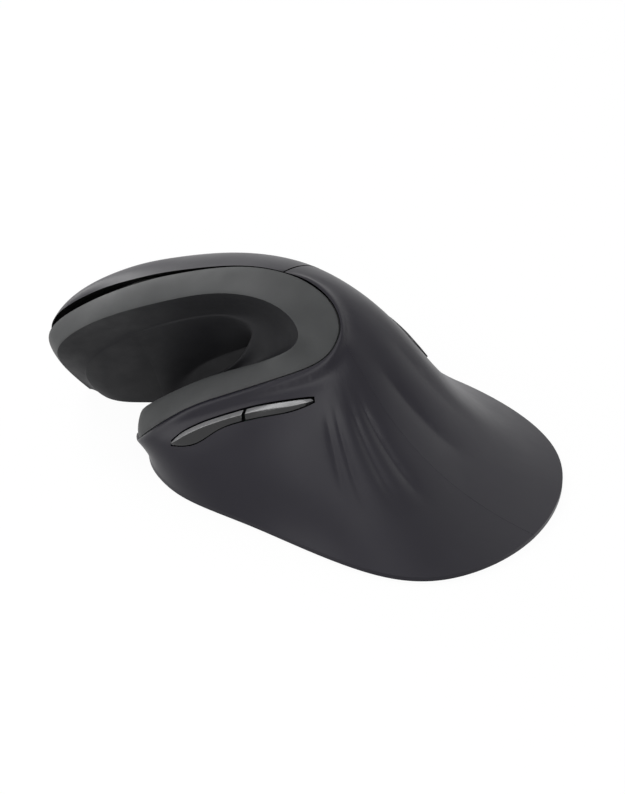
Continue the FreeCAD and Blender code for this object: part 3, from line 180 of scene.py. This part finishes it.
# materials
finishes = {
    "softTouchBlack": {
        "dark": (0.0045, 0.0036, 0.0080), "pale": (0.0065, 0.0054, 0.0105), "mottle": 22.0,
        "roughLow": 0.36, "roughHigh": 0.44, "grain": 2600.0, "bump": 0.10, "grainDepth": 0.00003,
        "sheen": 0.0, "specular": 0.27,
    },
    "stripRubber": {
        "dark": (0.030, 0.031, 0.032), "pale": (0.046, 0.048, 0.0485), "mottle": 42.0,
        "roughLow": 0.55, "roughHigh": 0.68, "grain": 1900.0, "bump": 0.16, "grainDepth": 0.00005,
        "sheen": 0.05, "specular": 0.35,
    },
    # thumb cradle: the same rubber as the strip, darker partly in its own tone and partly as painted shade in the deep
    # thumb bowl
    "cradleRubberWithPaintedShade": {
        "dark": (0.008, 0.008, 0.0095), "pale": (0.013, 0.013, 0.0145), "mottle": 60.0,
        "roughLow": 0.55, "roughHigh": 0.68, "grain": 1900.0, "bump": 0.16, "grainDepth": 0.00005,
        "sheen": 0.0, "specular": 0.2,
    },
    "polishedBlack": {
        "dark": (0.006, 0.006, 0.007), "pale": (0.009, 0.009, 0.010), "mottle": 40.0,
        "roughLow": 0.12, "roughHigh": 0.18, "grain": 900.0, "bump": 0.02, "grainDepth": 0.00001,
        "sheen": 0.0, "specular": 0.5,
    },
    # light grey painted highlight for the upper chamfers of the glossy black thumb keys
    "paintedHighlightChamfer": {
        "dark": (0.17, 0.17, 0.175), "pale": (0.23, 0.23, 0.235), "mottle": 60.0,
        "roughLow": 0.18, "roughHigh": 0.26, "grain": 900.0, "bump": 0.02, "grainDepth": 0.00001,
        "sheen": 0.0, "specular": 0.6,
    },
    # near-black painted shade for the hood's inward-facing faces, such as the overhanging edge in the nose gap
    "paintedShadeBlack": {
        "dark": (0.0010, 0.0010, 0.0010), "pale": (0.0020, 0.0020, 0.0020), "mottle": 60.0,
        "roughLow": 0.7, "roughHigh": 0.85, "grain": 1200.0, "bump": 0.05, "grainDepth": 0.00002,
        "sheen": 0.0, "specular": 0.03,
    },
    "badgeSatin": {
        "dark": (0.030, 0.030, 0.032), "pale": (0.040, 0.040, 0.042), "mottle": 30.0,
        "roughLow": 0.28, "roughHigh": 0.36, "grain": 1500.0, "bump": 0.05, "grainDepth": 0.00001,
        "sheen": 0.0, "specular": 0.5,
    },
    "baseBlack": {
        "dark": (0.010, 0.010, 0.011), "pale": (0.016, 0.016, 0.017), "mottle": 30.0,
        "roughLow": 0.5, "roughHigh": 0.62, "grain": 1200.0, "bump": 0.25, "grainDepth": 0.00006,
        "sheen": 0.0, "specular": 0.45,
    },
    "innerBlack": {
        "dark": (0.020, 0.020, 0.021), "pale": (0.030, 0.030, 0.031), "mottle": 40.0,
        "roughLow": 0.45, "roughHigh": 0.6, "grain": 1200.0, "bump": 0.1, "grainDepth": 0.00003,
        "sheen": 0.0, "specular": 0.45,
    },
    "tyreRubber": {
        "dark": (0.012, 0.012, 0.012), "pale": (0.020, 0.020, 0.020), "mottle": 120.0,
        "roughLow": 0.65, "roughHigh": 0.8, "grain": 2500.0, "bump": 0.2, "grainDepth": 0.00004,
        "sheen": 0.1, "specular": 0.4,
    },
    "boardGreen": {
        "dark": (0.010, 0.060, 0.032), "pale": (0.016, 0.085, 0.046), "mottle": 300.0,
        "roughLow": 0.3, "roughHigh": 0.4, "grain": 3000.0, "bump": 0.08, "grainDepth": 0.00002,
        "sheen": 0.0, "specular": 0.5,
    },
    "switchBlack": {
        "dark": (0.012, 0.012, 0.013), "pale": (0.020, 0.020, 0.021), "mottle": 90.0,
        "roughLow": 0.35, "roughHigh": 0.5, "grain": 2200.0, "bump": 0.08, "grainDepth": 0.00002,
        "sheen": 0.0, "specular": 0.5,
    },
    "cellSleeve": {
        "dark": (0.05, 0.055, 0.06), "pale": (0.075, 0.08, 0.09), "mottle": 50.0,
        "roughLow": 0.22, "roughHigh": 0.32, "grain": 1000.0, "bump": 0.03, "grainDepth": 0.00001,
        "sheen": 0.0, "specular": 0.5,
    },
    "glidePlastic": {
        "dark": (0.045, 0.045, 0.047), "pale": (0.065, 0.065, 0.068), "mottle": 60.0,
        "roughLow": 0.3, "roughHigh": 0.42, "grain": 1400.0, "bump": 0.06, "grainDepth": 0.00002,
        "sheen": 0.0, "specular": 0.5,
    },
    "cellBand": {
        "dark": (0.30, 0.13, 0.05), "pale": (0.38, 0.18, 0.07), "mottle": 50.0,
        "roughLow": 0.25, "roughHigh": 0.34, "grain": 1000.0, "bump": 0.03, "grainDepth": 0.00001,
        "sheen": 0.0, "specular": 0.5, "metal": 0.6,
    },
    "chipCeramic": {
        "dark": (0.10, 0.075, 0.05), "pale": (0.16, 0.12, 0.08), "mottle": 500.0,
        "roughLow": 0.4, "roughHigh": 0.55, "grain": 3000.0, "bump": 0.05, "grainDepth": 0.00001,
        "sheen": 0.0, "specular": 0.5,
    },
    "contactGold": {
        "dark": (0.62, 0.42, 0.14), "pale": (0.72, 0.52, 0.20), "mottle": 400.0,
        "roughLow": 0.2, "roughHigh": 0.32, "grain": 2600.0, "bump": 0.04, "grainDepth": 0.00001,
        "sheen": 0.0, "specular": 0.5, "metal": 1.0,
    },
    "clearLens": {
        "dark": (0.85, 0.9, 0.93), "pale": (0.92, 0.95, 0.97), "mottle": 60.0,
        "roughLow": 0.05, "roughHigh": 0.1, "grain": 900.0, "bump": 0.01, "grainDepth": 0.00001,
        "sheen": 0.0, "specular": 0.5, "clear": 1.0,
    },
    "brightSteel": {
        "dark": (0.42, 0.42, 0.43), "pale": (0.58, 0.58, 0.59), "mottle": 400.0,
        "roughLow": 0.25, "roughHigh": 0.4, "grain": 2600.0, "bump": 0.06, "grainDepth": 0.00002,
        "sheen": 0.0, "specular": 0.5, "metal": 1.0,
    },
}


def noise(tree, scale, detail, coordinates):
    texture = tree.nodes.new("ShaderNodeTexNoise")
    texture.inputs["Scale"].default_value = scale
    texture.inputs["Detail"].default_value = detail
    tree.links.new(coordinates, texture.inputs["Vector"])
    return texture.outputs["Fac"]


def mapped(tree, value, low, high):
    spread = tree.nodes.new("ShaderNodeMapRange")
    spread.inputs["From Min"].default_value = 0.3
    spread.inputs["From Max"].default_value = 0.7
    spread.inputs["To Min"].default_value = low
    spread.inputs["To Max"].default_value = high
    tree.links.new(value, spread.inputs["Value"])
    return spread.outputs["Result"]


def makeFinish(name, look):
    material = bpy.data.materials.new(name)
    material.use_nodes = True
    tree = material.node_tree
    shader = tree.nodes["Principled BSDF"]
    place = tree.nodes.new("ShaderNodeTexCoord").outputs["Object"]
    ramp = tree.nodes.new("ShaderNodeValToRGB")
    ramp.color_ramp.elements[0].position = 0.32
    ramp.color_ramp.elements[1].position = 0.68
    ramp.color_ramp.elements[0].color = (*look["dark"], 1)
    ramp.color_ramp.elements[1].color = (*look["pale"], 1)
    tree.links.new(noise(tree, look["mottle"], 4.0, place), ramp.inputs["Fac"])
    tree.links.new(ramp.outputs["Color"], shader.inputs["Base Color"])
    rough = mapped(tree, noise(tree, look["mottle"] * 3, 3.0, place), look["roughLow"], look["roughHigh"])
    tree.links.new(rough, shader.inputs["Roughness"])
    bump = tree.nodes.new("ShaderNodeBump")
    bump.inputs["Strength"].default_value = look["bump"]
    bump.inputs["Distance"].default_value = look["grainDepth"]
    tree.links.new(noise(tree, look["grain"], 2.0, place), bump.inputs["Height"])
    tree.links.new(bump.outputs["Normal"], shader.inputs["Normal"])
    shader.inputs["Specular IOR Level"].default_value = look["specular"]
    shader.inputs["Sheen Weight"].default_value = look["sheen"]
    shader.inputs["Sheen Roughness"].default_value = 0.5
    shader.inputs["Metallic"].default_value = look.get("metal", 0.0)
    shader.inputs["Transmission Weight"].default_value = look.get("clear", 0.0)
    return material


materials = {name: makeFinish(name, look) for name, look in finishes.items()}
print("materials made:", len(materials))

nodeFinishes = {
    "softTouchBlack": ["left_shell", "right_shell", "index_button", "middle_button"],
    "stripRubber": ["grip_strip"],
    # the thumb cradle's darker rubber is partly painted shade
    "cradleRubberWithPaintedShade": ["thumb_cradle"],
    "polishedBlack": ["forward_button", "back_button", "dpi_button"],
    "badgeSatin": ["palm_badge"],
    "baseBlack": ["base_plate", "battery_door", "power_knob"],
    "innerBlack": ["wheel_carrier", "battery_tray", "receiver_dock", "scroll_wheel"],
    "tyreRubber": ["wheel_tyre"],
    "boardGreen": ["finger_board", "thumb_board", "main_board"],
    "switchBlack": [
        "wheel_encoder", "index_switch", "middle_switch", "wheel_switch", "dpi_switch", "thumb_switches",
        "power_switch", "optical_sensor", "board_chips",
    ],
    "cellSleeve": ["battery_cells"],
    "glidePlastic": ["glide_feet"],
    "clearLens": ["sensor_lens"],
    "brightSteel": ["battery_contacts", "usb_receiver", "board_screws", "case_screws", "finger_board_screws"],
}


def dress(nodeName, material):
    mesh = nodes[nodeName].data
    if not mesh.materials:
        mesh.materials.append(material)
    for index in range(len(nodes[nodeName].material_slots)):
        nodes[nodeName].material_slots[index].material = material


for finishName, dressedNodes in nodeFinishes.items():
    for dressedNode in dressedNodes:
        dress(dressedNode, materials[finishName])
print("nodes dressed")

# detail pieces: sizes and places in mm
mergeReach = 1e-6
sharpAngle = math.radians(35)


def mm(*sizes):
    return [size / 1000 for size in sizes]


def turned(profile, steps, place=(0, 0, 0)):
    # a closed outline of (radius, height) turned about Z
    shape = bmesh.new()
    corners = [shape.verts.new((radius / 1000, 0, height / 1000)) for radius, height in profile]
    edges = [shape.edges.new(pair) for pair in zip(corners, corners[1:])]
    bmesh.ops.spin(shape, geom=corners + edges, axis=(0, 0, 1), cent=(0, 0, 0), angle=math.tau,
                   steps=steps, use_merge=True, use_duplicate=False)
    bmesh.ops.remove_doubles(shape, verts=shape.verts, dist=mergeReach)
    bmesh.ops.recalc_face_normals(shape, faces=shape.faces)
    bmesh.ops.translate(shape, verts=shape.verts, vec=mm(*place))
    return shape


def roundedBlock(size, place, edge, segments=2):
    shape = bmesh.new()
    bmesh.ops.create_cube(shape, size=1.0)
    bmesh.ops.scale(shape, verts=shape.verts, vec=mm(*size))
    bmesh.ops.bevel(shape, geom=list(shape.edges), offset=edge / 1000, offset_type="OFFSET", segments=segments,
                    affect="EDGES", profile=0.5, material=-1)
    bmesh.ops.translate(shape, verts=shape.verts, vec=mm(*place))
    return shape


def gathered(name, shapes, finishNames, turn=None):
    # one piece of several shapes; each shape takes the finish of its number
    data = bpy.data.meshes.new(name)
    whole = bmesh.new()
    for number, shape in shapes:
        for face in shape.faces:
            face.material_index = number
            face.smooth = True
        part = bpy.data.meshes.new("part")
        shape.to_mesh(part)
        shape.free()
        whole.from_mesh(part)
        bpy.data.meshes.remove(part)
    if turn:
        bmesh.ops.transform(whole, matrix=turn, verts=whole.verts)
    whole.to_mesh(data)
    whole.free()
    data.set_sharp_from_angle(angle=sharpAngle)
    for finishName in finishNames:
        data.materials.append(materials[finishName])
    piece = bpy.data.objects.new(name, data)
    bpy.context.scene.collection.objects.link(piece)
    return piece


def jointNamed(name):
    return next(joint for joint in frame["joints"] if joint["name"] == name)


def paintedLightCopy(name, nodeName, finishNames, chosen):
    # a copy of a model piece whose chosen faces take a second finish; used to paint shade on the hood and a highlight
    # on the thumb keys
    shape = bmesh.new()
    shape.from_mesh(nodes[nodeName].data)
    bmesh.ops.remove_doubles(shape, verts=shape.verts, dist=mergeReach)
    for face in shape.faces:
        face.smooth = True
        face.material_index = 1 if chosen(face.normal) else 0
    data = bpy.data.meshes.new(name)
    shape.to_mesh(data)
    shape.free()
    data.transform(nodes[nodeName].matrix_world)
    data.set_sharp_from_angle(angle=sharpAngle)
    for finishName in finishNames:
        data.materials.append(materials[finishName])
    piece = bpy.data.objects.new(name, data)
    bpy.context.scene.collection.objects.link(piece)
    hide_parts(nodeName)
    return piece


# the hood's faces that turn inward take near-black painted shade
hood = {"outward": (0.35, 0.35, 0.87), "paintedShadeBelow": -0.2}


def addHoodCover(setup):
    outward = Vector(setup["outward"])
    piece = paintedLightCopy("hoodCover", "index_button", ("softTouchBlack", "paintedShadeBlack"),
                     lambda normal: normal.dot(outward) < setup["paintedShadeBelow"])
    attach(piece, "index_panel")


addHoodCover(hood)

# the thumb keys' upper chamfer faces take a light grey painted highlight
thumbKeys = {"bodies": {"forward": "forward_key", "back": "back_key"}, "paintedHighlightLeft": -0.1, "paintedHighlightUp": 0.68}


def addThumbKeys(setup):
    for key, body in setup["bodies"].items():
        piece = paintedLightCopy(key + "Key", key + "_button", ("polishedBlack", "paintedHighlightChamfer"),
                         lambda normal: normal.x < setup["paintedHighlightLeft"] and normal.z > setup["paintedHighlightUp"])
        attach(piece, body)


addThumbKeys(thumbKeys)
print("hood and thumb keys dressed")

tyre = {
    "radius": 9.5, "bore": 7.9, "width": 5.4, "shoulder": 0.5,
    "ribs": 36, "stepsPerRib": 4, "groovedSteps": (1, 2), "groove": 0.4, "grooveSlope": 0.12,
}


def addTyre(setup):
    outer, bore, half, shoulder = setup["radius"], setup["bore"], setup["width"] / 2, setup["shoulder"]
    soft = 0.3 * shoulder  # the corner point of the rounded shoulder
    profile = [
        (bore, -half), (outer - shoulder, -half), (outer - soft, -half + soft), (outer, -half + shoulder),
        (outer, half - shoulder), (outer - soft, half - soft), (outer - shoulder, half), (bore, half),
        (bore, -half),
    ]
    steps = setup["ribs"] * setup["stepsPerRib"]
    shape = turned(profile, steps)
    tread = []
    for face in shape.faces:
        centre = face.calc_center_median()
        reach = math.hypot(centre.x, centre.y) * 1000
        step = int(math.degrees(math.atan2(centre.y, centre.x)) % 360 / 360 * steps)
        onTread = reach > outer - 0.05 and abs(centre.z) * 1000 < half - shoulder
        if onTread and step % setup["stepsPerRib"] in setup["groovedSteps"]:
            tread.append(face)
    bmesh.ops.inset_region(shape, faces=tread, thickness=setup["grooveSlope"] / 1000,
                           depth=-setup["groove"] / 1000, use_even_offset=True)
    joint = jointNamed("wheel_spin")
    turn = Matrix.Translation(joint["pos_m"]) @ Vector(joint["axis"]).to_track_quat("Z", "Y").to_matrix().to_4x4()
    piece = gathered("ribbedTyre", [(0, shape)], ("tyreRubber",), turn)
    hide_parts("wheel_tyre")
    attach(piece, "wheel")


addTyre(tyre)

caseScrew = {
    "steps": 24,
    "places": [(-36.106, 21.669), (-33.711, -39.6), (13.705, -49.928), (38.312, -6.85), (14.46, 53.049)],
    "profile": [
        # head with its recess
        (0, 1.5), (0.55, 1.5), (0.75, 0.98), (1.9, 0.9), (2.2, 1.0), (2.3, 1.2), (2.3, 2.0),
        # thread and tip
        (0.9, 2.0), (0.9, 2.3), (0.72, 2.5), (0.9, 2.7), (0.72, 2.95), (0.9, 3.2), (0.72, 3.45), (0.9, 3.7),
        (0.72, 3.95), (0.9, 4.2), (0.72, 4.45), (0.9, 4.7), (0.9, 6.0), (0.3, 6.8), (0, 6.9),
    ],
}


def addCaseScrews(setup):
    heads = []
    for x, y in setup["places"]:
        heads.append((0, turned(setup["profile"], setup["steps"], (x, y, 0))))
    piece = gathered("crossScrews", heads, ("brightSteel",))
    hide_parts("case_screws")
    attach(piece, "case")


addCaseScrews(caseScrew)

glideFoot = {
    "steps": 64,
    "places": [(-32.0, 4.8), (-20.0, -45.2), (26.0, -34.2), (9.0, 45.8)],
    "profile": [
        (0, 0), (4.3, 0), (4.45, 0.14), (4.7, 0.14), (4.85, 0),
        (5.35, 0), (5.75, 0.14), (5.95, 0.4), (6.0, 0.8), (0, 0.8),
    ],
}


def addGlideFeet(setup):
    feet = [(0, turned(setup["profile"], setup["steps"], (x, y, 0))) for x, y in setup["places"]]
    piece = gathered("ringedFeet", feet, ("glidePlastic",))
    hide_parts("glide_feet")
    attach(piece, "case")


addGlideFeet(glideFoot)

cell = {
    "middle": (5.0, -8.4, 8.35), "apart": 5.35, "radius": 5.2, "length": 43.4,
    "steps": 48, "nub": 1.9, "nubRise": 1.0, "bandFrom": 10.0, "bandStep": 0.03, "steelCap": 1.1,
}


def addCells(setup):
    radius, half, nub, band = setup["radius"], setup["length"] / 2, setup["nub"], setup["bandFrom"]
    tip, slim = half + setup["nubRise"], radius - setup["bandStep"]
    profile = [
        # flat end and sleeve
        (0, -half), (radius - 1.2, -half), (radius - 1.0, -half + 0.12), (radius - 0.45, -half + 0.1),
        (radius - 0.12, -half + 0.25), (radius, -half + 0.6), (radius, band),
        # step to the coloured band
        (slim, band), (slim, band + 0.12), (radius, band + 0.12), (radius, half - 0.6),
        # shoulder and nub
        (radius - 0.12, half - 0.25), (radius - 0.45, half - 0.1), (nub + 1.2, half - 0.2), (nub + 0.6, half - 0.35),
        (nub + 0.15, half - 0.35), (nub, half - 0.1), (nub - 0.05, tip - 0.2), (nub - 0.25, tip - 0.02), (0, tip),
    ]
    shapes = []
    for side in (-1, 1):
        shape = turned(profile, setup["steps"])
        lie = Matrix.Rotation(math.radians(-90 * side), 4, "X")
        x, y, z = setup["middle"]
        spot = Matrix.Translation(mm(x + side * setup["apart"], y, z))
        bmesh.ops.transform(shape, matrix=spot @ lie, verts=shape.verts)
        shapes.append((0, shape))
    piece = gathered("sleevedCells", shapes, ("cellSleeve", "cellBand", "brightSteel"))
    for face in piece.data.polygons:
        x, y, z = face.center * 1000 - Vector(setup["middle"])
        side = 1 if x > 0 else -1
        off = math.hypot(x - side * setup["apart"], z)
        if abs(y) > half - 0.3 and off < radius - setup["steelCap"]:
            face.material_index = 2
        elif y * side > band + 0.05:
            face.material_index = 1
    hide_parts("battery_cells")
    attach(piece, "case")


addCells(cell)
print("wheel, screws, feet and cells added")

receiver = {
    "head": (6.0, 14.4, 6.6), "plug": (4.5, 12.0, 12.0), "place": (22.3, -2.2, 0.8), "wall": 0.3, "mouth": 8.0,
    "ribs": 5, "ribGap": 0.8, "tongue": (1.7, 11.0, 8.0), "contacts": 4, "contactGap": 2.4, "contact": (0.12, 1.2, 7.0),
}


def plugTube(setup, place):
    # the metal sleeve of the plug, open at the top
    tube = bmesh.new()
    bmesh.ops.create_cube(tube, size=1.0)
    bmesh.ops.scale(tube, verts=tube.verts, vec=mm(*setup["plug"]))
    upright = [edge for edge in tube.edges if abs(edge.verts[0].co.z - edge.verts[1].co.z) > 1e-4]
    bmesh.ops.bevel(tube, geom=upright, offset=setup["wall"] / 1000, offset_type="OFFSET", segments=3,
                    affect="EDGES", profile=0.5, material=-1)
    bmesh.ops.translate(tube, verts=tube.verts, vec=mm(*place))
    top = [face for face in tube.faces if face.normal.z > 0.9]
    bmesh.ops.inset_region(tube, faces=top, thickness=setup["wall"] / 1000, use_even_offset=True)
    top = [face for face in tube.faces if face.normal.z > 0.9 and face.calc_area() > 3e-5]
    deep = bmesh.ops.extrude_face_region(tube, geom=top)["geom"]
    bmesh.ops.delete(tube, geom=top, context="FACES_ONLY")
    corners = [corner for corner in deep if isinstance(corner, bmesh.types.BMVert)]
    bmesh.ops.translate(tube, verts=corners, vec=mm(0, 0, -setup["mouth"]))
    bmesh.ops.recalc_face_normals(tube, faces=tube.faces)
    return tube


def addReceiver(setup):
    x, y, low = setup["place"]
    wide, long, tall = setup["head"]
    neck = low + tall
    shapes = [
        (0, roundedBlock((wide, long, tall), (x, y, low + tall / 2), 0.8, 4)),
        (1, plugTube(setup, (x, y, neck + setup["plug"][2] / 2 - 0.01))),
        (0, roundedBlock(setup["tongue"], (x - 0.95, y, neck + 7.4), 0.1)),
    ]
    for step in range(setup["ribs"]):
        ribX = x + setup["ribGap"] * (step - (setup["ribs"] - 1) / 2)
        shapes.append((0, roundedBlock((0.5, long - 5, 0.3), (ribX, y, low + 0.17), 0.12)))
    for step in range(setup["contacts"]):
        contactY = y + setup["contactGap"] * (step - (setup["contacts"] - 1) / 2)
        shapes.append((2, roundedBlock(setup["contact"], (x - 0.06, contactY, neck + 7.6), 0.03, 1)))
    piece = gathered("receiverKey", shapes, ("switchBlack", "brightSteel", "contactGold"))
    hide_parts("usb_receiver")
    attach(piece, "receiver")


addReceiver(receiver)

boardParts = {
    "level": 7.6, "body": (1.1, 1.0, 0.5), "cap": (0.35, 1.02, 0.52), "capOff": 0.7,
    "places": [
        # x, y and turn of each
        (3.0, 21.5, 0), (3.0, 24.5, 0), (3.0, 30.0, 90), (3.0, 33.0, 90), (3.2, 38.0, 0), (3.2, 41.0, 0),
        (4.6, 44.5, 90), (17.8, 22.0, 90), (17.8, 25.0, 90), (17.6, 31.0, 0), (17.6, 34.0, 0), (17.8, 38.0, 90),
        (17.6, 43.0, 0), (9.0, 45.6, 0),
    ],
    "leg": (0.9, 0.35, 0.25), "legs": 7, "legGap": 0.9, "chip": (10.5, 38.1), "chipHalf": 3.9,
}


def addBoardParts(setup):
    level, off = setup["level"], setup["capOff"]
    shapes = []
    for x, y, turn in setup["places"]:
        spot = Matrix.Translation(mm(x, y, level + 0.26)) @ Matrix.Rotation(math.radians(turn), 4, "Z")
        for number, size, shift in ((0, setup["body"], 0), (1, setup["cap"], -off), (1, setup["cap"], off)):
            block = roundedBlock(size, (shift, 0, 0), 0.08, 1)
            bmesh.ops.transform(block, matrix=spot, verts=block.verts)
            shapes.append((number, block))
    chipX, chipY = setup["chip"]
    for side in (-1, 1):
        for step in range(setup["legs"]):
            place = (chipX + side * setup["chipHalf"], chipY + setup["legGap"] * step, level + 0.15)
            shapes.append((1, roundedBlock(setup["leg"], place, 0.05, 1)))
    piece = gathered("boardParts", shapes, ("chipCeramic", "brightSteel"))
    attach(piece, "case")


addBoardParts(boardParts)

speedRibs = {
    "place": (17.7553, 20.6293, 41.3079), "pitch": 49.59, "roll": -10.2561,
    "size": (3.0, 0.55, 0.5), "rise": 0.6, "gap": 1.5,
}


def addSpeedRibs(setup):
    tilt = Matrix.Rotation(math.radians(setup["pitch"]), 4, "Y") @ Matrix.Rotation(math.radians(setup["roll"]), 4, "X")
    ribs = []
    for step in (-1, 0, 1):
        ribs.append((0, roundedBlock(setup["size"], (0, step * setup["gap"], setup["rise"]), 0.2, 3)))
    piece = gathered("speedRibs", ribs, ("polishedBlack",), Matrix.Translation(mm(*setup["place"])) @ tilt)
    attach(piece, "speed_key")


addSpeedRibs(speedRibs)

plateTrim = {
    "bottom": 0.8,
    "window": {"place": (10.5, 26.8), "size": (12.0, 12.0), "border": 1.2, "rise": 0.3, "drop": 0.3, "corner": 1.6},
    "field": {"place": (-22.0, -26.0), "size": (18.0, 11.0), "border": 0.35, "rise": 0.12, "drop": 0.11, "corner": 1.5},
}


def flatFrame(setup, bottom):
    # a flat frame with rounded corners, standing below the plate
    shape = bmesh.new()
    bmesh.ops.create_grid(shape, x_segments=1, y_segments=1, size=0.5)
    bmesh.ops.scale(shape, verts=shape.verts, vec=mm(*setup["size"], 1))
    bmesh.ops.bevel(shape, geom=list(shape.verts), offset=setup["corner"] / 1000, offset_type="OFFSET", segments=5,
                    affect="VERTICES", profile=0.5, material=-1)
    middle = list(shape.faces)
    bmesh.ops.inset_region(shape, faces=middle, thickness=setup["border"] / 1000, use_boundary=True,
                           use_even_offset=True)
    bmesh.ops.delete(shape, geom=middle, context="FACES")
    raised = bmesh.ops.extrude_face_region(shape, geom=list(shape.faces), use_keep_orig=True)["geom"]
    corners = [corner for corner in raised if isinstance(corner, bmesh.types.BMVert)]
    bmesh.ops.translate(shape, verts=corners, vec=mm(0, 0, setup["rise"]))
    bmesh.ops.recalc_face_normals(shape, faces=shape.faces)
    bmesh.ops.translate(shape, verts=shape.verts, vec=mm(*setup["place"], bottom - setup["drop"]))
    return shape


def addPlateTrim(setup):
    frames = [(0, flatFrame(setup[name], setup["bottom"])) for name in ("window", "field")]
    piece = gathered("plateTrim", frames, ("baseBlack",))
    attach(piece, "case")


addPlateTrim(plateTrim)

doorRibs = {"first": (5.0, 6.2), "count": 4, "gap": 1.3, "size": (12.0, 0.6, 0.5), "level": 0.8}


def addDoorRibs(setup):
    x, y = setup["first"]
    ribs = []
    for step in range(setup["count"]):
        ribs.append((0, roundedBlock(setup["size"], (x, y - setup["gap"] * step, setup["level"]), 0.22, 3)))
    piece = gathered("doorRibs", ribs, ("baseBlack",))
    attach(piece, "door")


addDoorRibs(doorRibs)
print("receiver, board parts and trim added")
